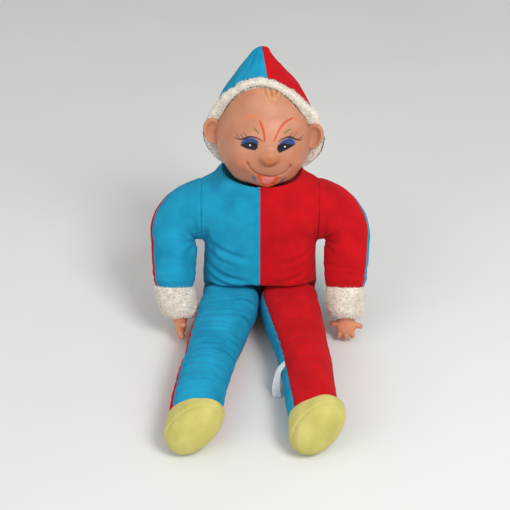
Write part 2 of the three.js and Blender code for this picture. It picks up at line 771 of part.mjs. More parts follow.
function head() {
  const group = new THREE.Group();
  group.name = 'head';
  group.position.copy(headCentre);
  group.rotation.set(-lean, headTilt, -headTurn, 'XYZ');
  const centre = new THREE.Vector3();
  const openingAxis = new THREE.Vector3(0, -Math.cos(openingTilt), -Math.sin(openingTilt));
  const edge = trimHalfWidth + seamGap;
  const faceSide = halfSpace(openingAxis, openingAxis.clone().multiplyScalar(edge));
  const hoodSide = halfSpace(openingAxis.clone().negate(), openingAxis.clone().multiplyScalar(-edge));
  const neckHole = rod(centre, new THREE.Vector3(0, 0, -2 * hoodRadius), neckOpening);

  const lining = swollenBall((d) => coreAt(d, seamGap), 20, 14);
  const mask = swollenBall(faceAt, maskPoints, maskPoints, axisY).add(ear(-1)).add(ear(1));
  const face = mask.subtract(lining).intersect(faceSide).subtract(neckHole);
  group.add(piece('face_mask', face, finishes.vinyl));

  const hoodInside = swollenBall((d) => hoodAt(d, clothThickness), 24, 16);
  const hood = swollenBall((d) => hoodAt(d, 0), 24, 16).subtract(hoodInside);
  const seam = new THREE.Vector3().crossVectors(tipAim, aimed(...hoodSeamFront)).normalize();
  const [hoodLeft, hoodRight] = splitAt(hood.intersect(hoodSide).subtract(neckHole), seam, centre);
  group.add(piece('hood_right', hoodRight, finishes.blueCloth));
  group.add(piece('hood_left', hoodLeft, finishes.redCloth));
  group.add(piece('hood_trim', trimForm(openingAxis).subtract(lining).subtract(neckHole), finishes.plush));

  const backFill = swollenBall((d) => hoodAt(d, packedInset), 24, 16).intersect(hoodSide).subtract(neckHole);
  const filling = swollenBall((d) => coreAt(d, 0), 20, 14).add(backFill);
  group.add(piece('head_stuffing', filling, finishes.wadding));
  return group;
}

const doll = new THREE.Group();
doll.name = 'doll';
doll.add(torso(), neck(), head());
doll.add(arm('right', -1), arm('left', 1));
doll.add(leg('right', -1), leg('left', 1));

// The frame's origin is the middle of the doll's outline on the floor.
const bounds = new THREE.Box3().setFromObject(doll, true);
const middle = bounds.getCenter(new THREE.Vector3());
doll.position.set(-middle.x, -middle.y, -bounds.min.z);

const part = new THREE.Group();
part.name = 'clown_doll';
part.add(doll);

export default part;
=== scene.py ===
"""Looks of a seated stuffed clown doll: cloth suit, plush cuffs and trim, moulded face and hands.

Lengths are in mm and angles in degrees where nothing else is said. Blender's objects are in metres.
"""

import json
import logging
import math
from collections.abc import Callable, Sequence
from dataclasses import dataclass, field
from enum import Enum
from math import pi, radians

import bmesh
import bpy
import numpy as np
from bpy.types import ID, Material, Mesh, Node, NodeOutputs, NodeSocket, NodeTree, Object
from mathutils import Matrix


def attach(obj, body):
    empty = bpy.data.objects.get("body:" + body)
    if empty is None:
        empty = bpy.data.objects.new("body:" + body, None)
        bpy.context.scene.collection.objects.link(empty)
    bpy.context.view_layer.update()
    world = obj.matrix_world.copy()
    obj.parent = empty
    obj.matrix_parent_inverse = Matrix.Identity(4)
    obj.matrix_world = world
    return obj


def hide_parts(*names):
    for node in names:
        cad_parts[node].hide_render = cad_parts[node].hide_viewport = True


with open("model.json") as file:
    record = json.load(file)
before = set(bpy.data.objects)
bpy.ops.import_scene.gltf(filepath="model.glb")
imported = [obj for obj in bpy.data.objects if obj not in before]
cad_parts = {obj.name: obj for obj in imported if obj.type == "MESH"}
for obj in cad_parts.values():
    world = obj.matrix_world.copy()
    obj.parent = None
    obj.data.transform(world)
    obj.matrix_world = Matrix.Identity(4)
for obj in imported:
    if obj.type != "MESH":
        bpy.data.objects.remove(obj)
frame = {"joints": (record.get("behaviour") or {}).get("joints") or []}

log = logging.getLogger("doll")
MM = 0.001
JOINTS = {joint["name"]: joint for joint in frame["joints"]}
X, Y, Z = np.eye(3)
CLOTH = 1.3  # wall of the suit's jersey, in mm
CRISP = 55  # angle in degrees past which an edge stays crisp
PUCKER = 5.3  # millimetres from one pucker of a seam to the next

Array = np.ndarray
MeshData = tuple[Array, Array, Array, Array]  # points, faces, cloth coordinates and paint


class Side(Enum):
    """The doll's own sides, with the sign of X on which they lie."""

    RIGHT = -1
    LEFT = 1

    @property
    def word(self) -> str:
        """The side as node names spell it."""
        return self.name.lower()


class Part(Enum):
    """The two cloth halves of a limb."""

    FRONT = "front"
    BACK = "back"


def turned(axis: str, degrees: float) -> Array:
    """Rotation matrix about one axis.

    Args:
        axis: One of x, y and z.
        degrees: Angle, right-handed.

    Returns:
        The 3 x 3 matrix.
    """
    c, s = math.cos(radians(degrees)), math.sin(radians(degrees))
    rows = {
        "x": [[1, 0, 0], [0, c, -s], [0, s, c]],
        "y": [[c, 0, s], [0, 1, 0], [-s, 0, c]],
        "z": [[c, -s, 0], [s, c, 0], [0, 0, 1]],
    }
    return np.array(rows[axis], float)


@dataclass(frozen=True)
class Place:
    """Where a group of pieces sits in the part frame, in mm."""

    turn: Array
    origin: Array

    def put(self, points: Array) -> Array:
        """Points of the group in the part frame."""
        return points @ self.turn.T + self.origin


def joint_place(name: str) -> Array:
    """The place of a joint in mm."""
    return np.array(JOINTS[name]["pos_m"], float) / MM


def unit(vector: Array) -> Array:
    """The vector, or each vector of a grid, at length one."""
    return vector / np.maximum(np.linalg.norm(vector, axis=-1, keepdims=True), 1e-12)


def ease(low: float, high: float, value: Array) -> Array:
    """Smooth step from 0 at low to 1 at high."""
    t = np.clip((value - low) / (high - low), 0, 1)
    return t * t * (3 - 2 * t)


def soft_max(a: Array, b: Array, blend: float) -> Array:
    """The larger of two values, rounded over about the blend width."""
    return (a + b + np.sqrt((a - b) ** 2 + blend**2)) / 2


def soft_min(a: Array, b: Array, blend: float) -> Array:
    """The smaller of two values, rounded over about the blend width."""
    return (a + b - np.sqrt((a - b) ** 2 + blend**2)) / 2


def bell(value: Array, width: float) -> Array:
    """A smooth hump: 1 where the value is 0, falling away over about a width."""
    return np.exp(-((value / width) ** 2))


def full_turn(steps: int) -> Array:
    """Angles right round in equal steps, the last one a full turn."""
    return np.linspace(0, 2 * pi, steps + 1)


def cap(hub: Array, ring: Array, shares: Array) -> Array:
    """Copies of a ring drawn in towards a hub, each to a share of its reach."""
    return hub + shares[:, None, None] * (ring - hub)


def smooth_rows(rows: Sequence[Sequence[float]], at: Array) -> list[Array]:
    """Smooth values between the rows of a profile.

    Args:
        rows: A place and its values in each row, the places rising.
        at: Places to read.

    Returns:
        One array for each value of a row.
    """
    table = np.array(rows, float)
    places = table[:, 0]
    found = []
    for values in table[:, 1:].T:
        slope = np.gradient(values, places)
        index = np.clip(np.searchsorted(places, at) - 1, 0, len(places) - 2)
        span = places[index + 1] - places[index]
        t = np.clip((at - places[index]) / span, 0, 1)
        start, end = values[index], values[index + 1]
        tangent, next_tangent = slope[index] * span, slope[index + 1] * span
        found.append(
            start * (2 * t**3 - 3 * t**2 + 1)
            + tangent * (t**3 - 2 * t**2 + t)
            + end * (3 * t**2 - 2 * t**3)
            + next_tangent * (t**3 - t**2)
        )
    return found


def wander(points: Array, size: float, seed: int, waves: int = 7) -> Array:
    """Slow irregular variation over space, about -1 to 1.

    Args:
        points: Points.
        size: Width of a swell.
        seed: Fixed seed of its directions.
        waves: How many swells cross.

    Returns:
        One value for each point.
    """
    rng = np.random.default_rng(seed)
    total = np.zeros(points.shape[:-1])
    for _ in range(waves):
        way = unit(rng.normal(size=3)) * rng.uniform(0.6, 1.5) * pi / size
        total += np.cos(points @ way + rng.uniform(0, 2 * pi))
    return total / math.sqrt(waves)


def normals_of(grid: Array, closed: bool) -> Array:
    """Outward directions of a grid of points.

    Args:
        grid: Rows x columns x 3; a closed grid repeats its first column at the end.
        closed: Whether the columns run right round.

    Returns:
        Unit directions away from the grid's middle.
    """
    down = np.gradient(grid, axis=0)
    across = np.gradient(grid, axis=1)
    if closed:
        ends = (grid[:, 1] - grid[:, -2]) / 2
        across[:, 0] = ends
        across[:, -1] = ends
    normal = np.cross(across, down)
    length = np.linalg.norm(normal, axis=-1)
    for row, neighbour in ((0, 1), (-1, -2)):
        if length[row].max() < 1e-6 or np.ptp(grid[row], axis=0).max() < 1e-6:
            normal[row] = unit(normal[neighbour]).mean(0)
    normal = unit(normal)
    middle = grid.reshape(-1, 3).mean(0)
    if np.mean(np.sum(normal * (grid - middle), axis=-1)) < 0:
        normal = -normal
    return normal


def relaxed(grid: Array, rounds: int, closed: bool) -> Array:
    """The grid with its creases softened, its ends held.

    Args:
        grid: The whole surface.
        rounds: How often each point moves to the middle of its neighbours.
        closed: Whether the columns run right round.

    Returns:
        The softened grid.
    """
    grid = grid.copy()
    for _ in range(rounds):
        grid[1:-1] = (grid[:-2] + 2 * grid[1:-1] + grid[2:]) / 4
        if closed:
            ring = grid[:, :-1]
            ring = (np.roll(ring, 1, 1) + 2 * ring + np.roll(ring, -1, 1)) / 4
            grid = np.concatenate([ring, ring[:, :1]], axis=1)
        else:
            grid[:, 1:-1] = (grid[:, :-2] + 2 * grid[:, 1:-1] + grid[:, 2:]) / 4
    return grid


def furthest(inside: Callable[[Array], Array], far: Array, rounds: int) -> Array:
    """How far a form reaches, by halving the room in which its edge lies.

    Args:
        inside: Whether reaches still lie in the form.
        far: Reaches past the form.
        rounds: How often the room is halved.

    Returns:
        The furthest reaches in the form.
    """
    low = np.zeros_like(far)
    for _ in range(rounds):
        reach = (low + far) / 2
        within = inside(reach)
        low, far = np.where(within, reach, low), np.where(within, far, reach)
    return low


def pushed(grid: Array, move: Array) -> Array:
    """A closed grid with each point moved along its outward direction."""
    return grid + move[..., None] * normals_of(grid, True)


def runs_of(grid: Array) -> list[Array]:
    """The way along each row of a grid from its first column, and down each column from its first row."""
    steps = [np.diff(grid, axis=axis, prepend=np.take(grid, [0], axis)) for axis in (1, 0)]
    return [np.cumsum(np.linalg.norm(step, axis=-1), axis=axis) for step, axis in zip(steps, (1, 0))]


def seam_ways(across: Array, seams: Sequence[int]) -> Array:
    """How far each point of a closed grid lies from the nearest seam column, by its way along its row."""
    ways = [np.abs(across - across[:, column : column + 1]) for column in seams]
    return np.min([np.minimum(way, across[:, -1:] - way) for way in ways], axis=0)


def seam_pull(way: Array, along: Array, seed: int, depth: float = 0.9) -> Array:
    """How a sewn seam draws the cloth in, with small puckers across it.

    Args:
        way: Distance from the seam.
        along: Way along the seam.
        seed: Fixed seed of the puckers.
        depth: Depth of the valley.

    Returns:
        Outward moves.
    """
    rng = np.random.default_rng(seed)
    beat = np.sin(along * 2 * pi / PUCKER + 1.4 * np.sin(along / rng.uniform(7, 9)))
    pucker = 0.16 * beat * bell(way, 7) * (1 - bell(way, 1.5))
    return -depth * bell(way, 2.0) - 0.5 * depth * bell(way, 7) + pucker


def stroke_way(across: Array, up: Array, points: Sequence[Sequence[float]]) -> tuple[Array, Array]:
    """Distance from a smooth line through points in a plane.

    Args:
        across: First coordinate of each place.
        up: Second coordinate of each place.
        points: Points of the line.

    Returns:
        Distance from the line, and the share of its length there.
    """
    knots = np.linspace(0, 1, len(points))
    at = np.linspace(0, 1, 8 * (len(points) - 1) + 1)
    x, y = smooth_rows([[k, *p] for k, p in zip(knots, points)], at)
    best = np.full(across.shape, 1e9)
    share = np.zeros(across.shape)
    for i in range(len(at) - 1):
        dx, dy = x[i + 1] - x[i], y[i + 1] - y[i]
        t = np.clip(((across - x[i]) * dx + (up - y[i]) * dy) / max(dx * dx + dy * dy, 1e-9), 0, 1)
        gap = np.hypot(across - x[i] - t * dx, up - y[i] - t * dy)
        nearer = gap < best
        best = np.where(nearer, gap, best)
        share = np.where(nearer, at[i] + t * (at[i + 1] - at[i]), share)
    return best, share


def fold(across: Array, up: Array, points: Sequence[Sequence[float]], width: float, height: float) -> Array:
    """A soft crease along a line with a swell on its upper side, fading at both ends.

    Args:
        across: First coordinate of each place.
        up: Second coordinate of each place.
        points: Points of the crease.
        width: Half width.
        height: Depth of the crease.

    Returns:
        Outward moves.
    """
    way, share = stroke_way(across, up, points)
    fade = np.sin(pi * np.clip(share, 0.02, 0.98)) ** 0.7
    valley = -bell(way, width)
    swell = 0.7 * bell(way - 1.9 * width, 1.1 * width)
    return height * fade * (valley + swell)


def grid_faces(rows: int, columns: int, first: int, closed: bool, flip: bool) -> Array:
    """Four-sided faces of a grid of vertices.

    Args:
        rows: Number of rows.
        columns: Number of columns.
        first: Index of the first vertex.
        closed: Whether the last column joins the first.
        flip: Whether the faces turn round.

    Returns:
        Vertex indices, four to a face.
    """
    index = first + np.arange(rows * columns).reshape(rows, columns)
    if closed:
        index = np.concatenate([index, index[:, :1]], axis=1)
    quads = np.stack([index[:-1, :-1], index[:-1, 1:], index[1:, 1:], index[1:, :-1]], -1).reshape(-1, 4)
    return quads[:, ::-1] if flip else quads


def add_object(name: str, data: ID) -> Object:
    """A new object at the origin, linked into the scene.

    Args:
        name: Name of the object.
        data: Its mesh, lamp or camera.

    Returns:
        The object.
    """
    made = bpy.data.objects.new(name, data)
    bpy.context.scene.collection.objects.link(made)
    return made


def new_mesh(name: str, points: Array, faces: Array, edges: Sequence = ()) -> Mesh:
    """A mesh of points.

    Args:
        name: Name of the mesh.
        points: Points in the part frame.
        faces: Faces of four.
        edges: Edges, for a mesh without faces.

    Returns:
        The mesh.
    """
    mesh = bpy.data.meshes.new(name)
    mesh.from_pydata((points * MM).tolist(), edges, faces.tolist())
    return mesh


def baked(carrier: Object, name: str) -> Object:
    """What an object's modifiers make of it, as a plain mesh object in its stead.

    Args:
        carrier: The object with its modifiers, which is removed.
        name: Name of the piece.

    Returns:
        The piece.
    """
    graph = bpy.context.evaluated_depsgraph_get()
    mesh = bpy.data.meshes.new_from_object(carrier.evaluated_get(graph))
    bpy.data.objects.remove(carrier)
    mesh.name = name
    return add_object(name, mesh)


def new_piece(name: str, data: MeshData, place: Place) -> Object:
    """A mesh object at the origin, its doubled points merged.

    Args:
        name: Name of the piece.
        data: Its mesh in the group's frame.
        place: Where the group sits.

    Returns:
        The piece.
    """
    points, faces, uv, paint = data
    mesh = new_mesh(name, place.put(points), faces)
    layer = mesh.uv_layers.new(name="cloth")
    corner = np.zeros(len(mesh.loops), np.int32)
    mesh.loops.foreach_get("vertex_index", corner)
    layer.data.foreach_set("uv", (uv[corner] * MM).astype(np.float32).ravel())
    if paint.any():
        colour = mesh.attributes.new("paint", "FLOAT_COLOR", "POINT")
        colour.data.foreach_set("color", paint.astype(np.float32).ravel())
    work = bmesh.new()
    work.from_mesh(mesh)
    bmesh.ops.remove_doubles(work, verts=work.verts, dist=2e-6)
    bmesh.ops.dissolve_degenerate(work, edges=work.edges, dist=1e-7)
    work.to_mesh(mesh)
    work.free()
    mesh.shade_smooth()
    mesh.set_sharp_from_angle(angle=radians(CRISP))
    return add_object(name, mesh)


def shell_data(
    outer: Array, wall: float, closed: bool, outward: Array, paint: Array | None = None
) -> MeshData:
    """A thin wall on a grid: the outside, the inside, and the edges between them.

    Args:
        outer: Grid of the outside.
        wall: Its thickness.
        closed: Whether the columns run right round.
        outward: Outward directions of the grid.
        paint: Colour and cover of the outside.

    Returns:
        The mesh.
    """
    inner = outer - wall * outward
    uv = np.stack(runs_of(outer), -1)
    cover = np.zeros((*outer.shape[:2], 4)) if paint is None else paint
    if closed:
        outer, inner, uv, cover, outward = (x[:, :-1] for x in (outer, inner, uv, cover, outward))
    rows, columns = outer.shape[:2]
    a, b, c = outer[rows // 2, 0], outer[rows // 2, 1], outer[rows // 2 + 1, 0]
    flip = float(np.dot(np.cross(b - a, c - a), outward[rows // 2, 0])) < 0
    count = rows * columns
    faces = [grid_faces(rows, columns, 0, closed, flip), grid_faces(rows, columns, count, closed, not flip)]
    index = np.arange(count).reshape(rows, columns)
    ring = np.concatenate([index, index[:, :1]], axis=1) if closed else index
    edges = [(ring[0], flip), (ring[-1], not flip)]
    if not closed:
        edges += [(index[:, 0], not flip), (index[:, -1], flip)]
    for line, turn in edges:
        strip = np.stack([line[:-1], line[:-1] + count, line[1:] + count, line[1:]], -1)
        faces.append(strip[:, ::-1] if turn else strip)
    points = np.concatenate([outer.reshape(-1, 3), inner.reshape(-1, 3)])
    both = np.concatenate([uv.reshape(-1, 2)] * 2)
    return points, np.concatenate(faces), both, np.concatenate([cover.reshape(-1, 4), np.zeros((count, 4))])


def solid_data(outer: Array, paint: Array | None = None) -> MeshData:
    """A closed form on a grid that runs right round and closes to a point, or onto itself, at its end rows.

    Args:
        outer: Grid with its first column repeated.
        paint: Its colour and cover.

    Returns:
        The mesh.
    """
    across, down = runs_of(outer)
    uv = np.stack([across, down], -1)[:, :-1]
    grid = outer[:, :-1]
    points = grid.reshape(-1, 3)
    faces = grid_faces(grid.shape[0], grid.shape[1], 0, True, False)
    a, b, c, d = (points[faces[:, i]] for i in range(4))
    volume = np.sum(a * np.cross(b, c)) + np.sum(a * np.cross(c, d))
    cover = np.zeros((len(points), 4)) if paint is None else paint[:, :-1].reshape(-1, 4)
    return points, faces[:, ::-1] if volume < 0 else faces, uv.reshape(-1, 2), cover


def joined(parts: Sequence[MeshData]) -> MeshData:
    """Several meshes as one.

    Args:
        parts: The meshes.

    Returns:
        The one mesh.
    """
    first = np.cumsum([0] + [len(part[0]) for part in parts[:-1]])
    faces = np.concatenate([part[1] + start for part, start in zip(parts, first)])
    points, uv, cover = (np.concatenate([part[i] for part in parts]) for i in (0, 2, 3))
    return points, faces, uv, cover


@dataclass
class NodeTool:
    """A Geometry Nodes tree with named inputs, run once on a mesh and turned into a plain mesh."""

    name: str
    inputs: tuple = ()

    def grown(self, tree: NodeTree, given: NodeOutputs) -> NodeSocket:
        """What the tree makes, before it takes its finish."""
        raise NotImplementedError

    def tree(self) -> NodeTree:
        """The whole tree, from its named inputs to Realize Instances and Set Material.

        Returns:
            The node group.
        """
        tree = bpy.data.node_groups.new(self.name, "GeometryNodeTree")
        for word, kind in (("Geometry", "Geometry"), *self.inputs, ("Finish", "Material")):
            tree.interface.new_socket(word, in_out="INPUT", socket_type="NodeSocket" + kind)
        tree.interface.new_socket("Geometry", in_out="OUTPUT", socket_type="NodeSocketGeometry")
        given = add_node(tree, "NodeGroupInput").outputs
        real = add_node(tree, "GeometryNodeRealizeInstances", {0: self.grown(tree, given)})
        done = add_node(tree, "GeometryNodeSetMaterial", {0: real.outputs[0], "Material": given["Finish"]})
        add_node(tree, "NodeGroupOutput", {0: done.outputs[0]})
        return tree

    def run(self, name: str, base: Mesh, values: dict) -> Object:
        """Runs the tree on a mesh.

        Args:
            name: Name of the piece that it makes.
            base: Mesh that it grows on or follows.
            values: Its inputs by name.

        Returns:
            A plain mesh object.
        """
        tree = bpy.data.node_groups.get(self.name) or self.tree()
        carrier = add_object(name + "_base", base)
        modifier = carrier.modifiers.new(self.name, "NODES")
        modifier.node_group = tree
        for item in tree.interface.items_tree:
            if item.in_out == "INPUT" and item.name in values:
                modifier[item.identifier] = values[item.name]
        return baked(carrier, name)


@dataclass
class PileTufts(NodeTool):
    """Short tufts of pile, standing on a surface and leaning every way."""

    name: str = "pile_tufts"
    inputs: tuple = (
        ("Tufts per square metre", "Float"), ("Tuft length", "Float"), ("Tuft radius", "Float"),
        ("Seed", "Int"),
    )
    tufts: float = 0.42  # to a square millimetre
    point: float = 0.08  # radius of a tuft's tip in mm
    lean: float = 0.75  # radians
    sizes: tuple = (0.55, 1.2)

    def grown(self, tree: NodeTree, given: NodeOutputs) -> NodeSocket:
        """Tufts on the surface, each with its own lean and size.

        Args:
            tree: Tree that takes the nodes.
            given: Its inputs.

        Returns:
            The instances.
        """
        seed = {"Seed": given["Seed"]}
        spots = add_node(
            tree, "GeometryNodeDistributePointsOnFaces",
            {"Mesh": given["Geometry"], "Density": given["Tufts per square metre"], **seed},
            distribute_method="RANDOM",
        )
        tuft = add_node(
            tree, "GeometryNodeMeshCone",
            {"Vertices": 5, "Side Segments": 2, "Radius Top": self.point * MM,
             "Radius Bottom": given["Tuft radius"], "Depth": given["Tuft length"]},
            fill_type="NONE",
        )
        turns = {0: (-self.lean, -self.lean, -3.14), 1: (self.lean, self.lean, 3.14), **seed}
        lean = add_node(tree, "FunctionNodeRandomValue", turns, data_type="FLOAT_VECTOR")
        tilt = add_node(tree, "FunctionNodeEulerToRotation", {"Euler": lean.outputs[0]})
        stand = add_node(
            tree, "FunctionNodeRotateRotation",
            {"Rotation": spots.outputs["Rotation"], "Rotate By": tilt.outputs[0]}, rotation_space="LOCAL",
        )
        sizes = {2: self.sizes[0], 3: self.sizes[1], **seed}
        size = add_node(tree, "FunctionNodeRandomValue", sizes, data_type="FLOAT")
        placed = {"Points": spots.outputs["Points"], "Instance": tuft.outputs["Mesh"]}
        placed |= {"Rotation": stand.outputs[0], "Scale": size.outputs[1]}
        return add_node(tree, "GeometryNodeInstanceOnPoints", placed).outputs[0]

    def cover(
        self, name: str, ride: str, place: Place, patch: Array, outward: Array, closed: bool,
        tuft: tuple[float, float], seed: int,
    ) -> None:
        """Grows pile on a patch of plush.

        Args:
            name: Name of the piece.
            ride: Body that it moves with.
            place: Where the group sits.
            patch: Grid of the plush, with no column repeated.
            outward: Outward directions of the patch.
            closed: Whether the columns run right round.
            tuft: Length and radius of a tuft.
            seed: Fixed seed of the tufts.
        """
        faces = grid_faces(*patch.shape[:2], 0, closed, False)
        points, out = patch.reshape(-1, 3), outward.reshape(-1, 3)
        a, b, c = (points[faces[:, i]] for i in range(3))
        if np.sum(np.cross(b - a, c - a) * out[faces[:, 0]]) < 0:
            faces = faces[:, ::-1]
        values = {"Tufts per square metre": self.tufts / MM**2, "Seed": seed, "Finish": PLUSH.material}
        values |= {"Tuft length": tuft[0] * MM, "Tuft radius": tuft[1] * MM}
        dress(self.run(name, new_mesh(name + "_skin", place.put(points), faces), values), PLUSH, ride)


@dataclass
class ThreadRun(NodeTool):
    """Sewing thread along a line of points."""

    name: str = "thread_run"
    inputs: tuple = (("Thread radius", "Float"),)

    def grown(self, tree: NodeTree, given: NodeOutputs) -> NodeSocket:
        """A round thread along the line.

        Args:
            tree: Tree that takes the nodes.
            given: Its inputs.

        Returns:
            The thread's mesh.
        """
        path = add_node(tree, "GeometryNodeMeshToCurve", {"Mesh": given["Geometry"]})
        round_off = {"Resolution": 6, "Radius": given["Thread radius"]}
        ring = add_node(tree, "GeometryNodeCurvePrimitiveCircle", round_off)
        thread = {"Curve": path.outputs[0], "Profile Curve": ring.outputs[0], "Fill Caps": True}
        return add_node(tree, "GeometryNodeCurveToMesh", thread).outputs[0]

    def follow(self, name: str, points: Array, radius: float) -> Object:
        """Thread of a radius in mm, through points in the part frame."""
        line = new_mesh(name + "_line", points, np.zeros(0), [(i, i + 1) for i in range(len(points) - 1)])
        return self.run(name, line, {"Thread radius": radius * MM, "Finish": EDGE_SHADE_THREAD.material})


def linear(hexed: str) -> tuple[float, float, float, float]:
    """An sRGB hex colour as linear red, green, blue and alpha."""
    parts = [int(hexed[i : i + 2], 16) / 255 for i in (1, 3, 5)]
    return (*[p / 12.92 if p <= 0.04045 else ((p + 0.055) / 1.055) ** 2.4 for p in parts], 1.0)


def add_node(tree: NodeTree, kind: str, inputs: dict | None = None, **settings: object) -> Node:
    """A node with its settings, values and links.

    Args:
        tree: Tree that takes the node.
        kind: Blender's type name of the node.
        inputs: Values, or sockets to link from, by input name or number.
        **settings: Properties of the node.

    Returns:
        The node.
    """
    node = tree.nodes.new(kind)
    for name, value in settings.items():
        setattr(node, name, value)
    for key, value in (inputs or {}).items():
        socket = node.inputs[key]
        if isinstance(value, NodeSocket):
            tree.links.new(value, socket)
        else:
            socket.default_value = value
    return node


@dataclass(frozen=True)
class Finish:
    """What every finish has: its name, the name of a slot of the record, and two tones that drift together.
    """

    name: str
    slot: str
    colour: str
    shade: str

    @property
    def material(self) -> Material:
        """The material, made at its first use."""
        return bpy.data.materials.get(self.name) or self.make()

    def make(self) -> Material:
        """The material's own nodes."""
        raise NotImplementedError

    def start(self, values: dict[str, float]) -> tuple[Material, Node, NodeOutputs]:
        """A material with its constants and no pattern yet.

        Args:
            values: Constants of the shader by socket name.

        Returns:
            The material, its shader and its coordinates.
        """
        material = bpy.data.materials.new(self.name)
        material.use_nodes = True
        shader = material.node_tree.nodes["Principled BSDF"]
        for socket, value in values.items():
            shader.inputs[socket].default_value = value
        return material, shader, add_node(material.node_tree, "ShaderNodeTexCoord").outputs

    def tones(self, tree: NodeTree, share: NodeSocket, stops: tuple[float, float]) -> NodeSocket:
        """The two tones, mixed by a pattern.

        Args:
            tree: The material's tree.
            share: The pattern.
            stops: Values of the pattern at which the shade ends and the colour starts.

        Returns:
            The mixed colour.
        """
        tone = add_node(tree, "ShaderNodeValToRGB", {"Fac": share})
        for stop, place, colour in zip(tone.color_ramp.elements, stops, (self.shade, self.colour)):
            stop.position = place
            stop.color = linear(colour)
        return tone.outputs["Color"]


@dataclass(frozen=True)
class BrushedKnit(Finish):
    """Brushed cotton jersey, knitted and raised: matt, faintly ribbed, with a soft bloom at the edges."""

    blotch: float = 28  # width of a patch of one tone, in mm, as the next two are
    wale: float = 1.7  # a real rib is 0.8 mm wide; drawn twice as coarse to show
    fuzz: float = 0.9

    def make(self) -> Material:
        """The material: mottled dye, ribs along the cloth and a raised nap.

        Returns:
            The material.
        """
        values = {"Roughness": 0.95, "IOR": 1.46, "Specular IOR Level": 0.12}
        material, shader, at = self.start(values | {"Sheen Weight": 0.03, "Sheen Roughness": 0.5})
        tree = material.node_tree
        blotch, fuzz = (
            add_node(
                tree, "ShaderNodeTexNoise",
                {"Vector": at["Object"], "Scale": 1 / (size * MM), "Detail": detail, "Roughness": rough},
            ).outputs["Fac"]
            for size, detail, rough in ((self.blotch, 3.0, 0.5), (self.fuzz, 4.0, 0.7))
        )
        ribs = {"Vector": at["UV"], "Scale": 0.31416 / (self.wale * MM), "Distortion": 1.6, "Detail": 2.0}
        rib = add_node(tree, "ShaderNodeTexWave", ribs | {"Detail Scale": 2.5}, bands_direction="X")
        faded = add_node(tree, "ShaderNodeMath", {0: fuzz, 1: 0.3}, operation="MULTIPLY")
        mottle = add_node(
            tree, "ShaderNodeMath", {0: blotch, 1: 0.72, 2: faded.outputs[0]}, operation="MULTIPLY_ADD"
        )
        tree.links.new(self.tones(tree, mottle.outputs[0], (0.3, 0.68)), shader.inputs["Base Color"])
        knit = {"Height": rib.outputs["Fac"], "Strength": 0.22, "Distance": 0.25 * MM}
        knit = add_node(tree, "ShaderNodeBump", knit)
        nap = {"Height": fuzz, "Strength": 0.5, "Distance": 0.5 * MM, "Normal": knit.outputs["Normal"]}
        tree.links.new(add_node(tree, "ShaderNodeBump", nap).outputs["Normal"], shader.inputs["Normal"])
        return material


@dataclass(frozen=True)
class MottledSoft(Finish):
    """Soft fibrous goods with irregular tone: felt, pile or wadding. Sizes are in mm."""

    patch: float
    fibre: float
    bump: float
    sheen: float

    def make(self) -> Material:
        """The material: drifting tone over a tangle of fibres.

        Returns:
            The material.
        """
        values = {"Roughness": 0.97, "IOR": 1.5, "Specular IOR Level": 0.15}
        material, shader, at = self.start(values | {"Sheen Weight": self.sheen, "Sheen Roughness": 0.6})
        tree = material.node_tree
        patch = {"Vector": at["Object"], "Scale": 1 / (self.patch * MM), "Detail": 4.0}
        patch = add_node(tree, "ShaderNodeTexNoise", patch)
        fibre = {"Vector": at["Object"], "Scale": 1 / (self.fibre * MM), "Detail": 5.0}
        fibre = add_node(tree, "ShaderNodeTexNoise", fibre | {"Roughness": 0.75, "Distortion": 0.6})
        tree.links.new(self.tones(tree, patch.outputs["Fac"], (0.32, 0.66)), shader.inputs["Base Color"])
        nap = {"Height": fibre.outputs["Fac"], "Strength": 0.7, "Distance": self.bump * MM}
        tree.links.new(add_node(tree, "ShaderNodeBump", nap).outputs["Normal"], shader.inputs["Normal"])
        return material


@dataclass(frozen=True)
class SoftVinyl(Finish):
    """Rotation-moulded soft vinyl: satin skin, faint mould pitting, painted by hand and mask spray."""

    painted: bool
    cloud: float = 32  # width of a patch of one tone, in mm
    pit: float = 1.6  # real pits are under a millimetre; drawn coarser to show

    def make(self) -> Material:
        """The material: clouded skin under its paint.

        Returns:
            The material.
        """
        material, shader, at = self.start({"Roughness": 0.46, "IOR": 1.53, "Specular IOR Level": 0.3})
        tree = material.node_tree
        cloud, pit = (
            add_node(
                tree, "ShaderNodeTexNoise",
                {"Vector": at["Object"], "Scale": 1 / (size * MM), "Detail": detail},
            ).outputs["Fac"]
            for size, detail in ((self.cloud, 3.0), (self.pit, 2.0))
        )
        colour = self.tones(tree, cloud, (0.3, 0.7))
        if self.painted:
            paint = add_node(tree, "ShaderNodeAttribute", attribute_name="paint", attribute_type="GEOMETRY")
            coats = {0: paint.outputs["Alpha"], 6: colour, 7: paint.outputs["Color"]}
            colour = add_node(tree, "ShaderNodeMix", coats, data_type="RGBA").outputs[2]
        tree.links.new(colour, shader.inputs["Base Color"])
        skin = {"Height": pit, "Strength": 0.12, "Distance": 0.2 * MM}
        tree.links.new(add_node(tree, "ShaderNodeBump", skin).outputs["Normal"], shader.inputs["Normal"])
        return material


# Brushed jersey is matt and a little mottled; its ribs show only close to.
BLUE = BrushedKnit("brushed_jersey_blue", "blue_cloth", "#1f97bb", "#147c9f")
RED = BrushedKnit("brushed_jersey_red", "red_cloth", "#c4111a", "#a80c15")
# Cotton pile is a warm white without gloss, its tufts light at the tip and shaded between.
PLUSH = MottledSoft("cotton_pile_plush", "plush", "#eae3d6", "#dad2c3", 14, 1.4, 0.9, 0.25)
# Brushed felt is soft-edged and dull, with slow patches where it has rubbed.
FELT = MottledSoft("brushed_felt_yellow", "yellow_felt", "#c8be6d", "#b9af5c", 24, 1.1, 0.5, 0.12)
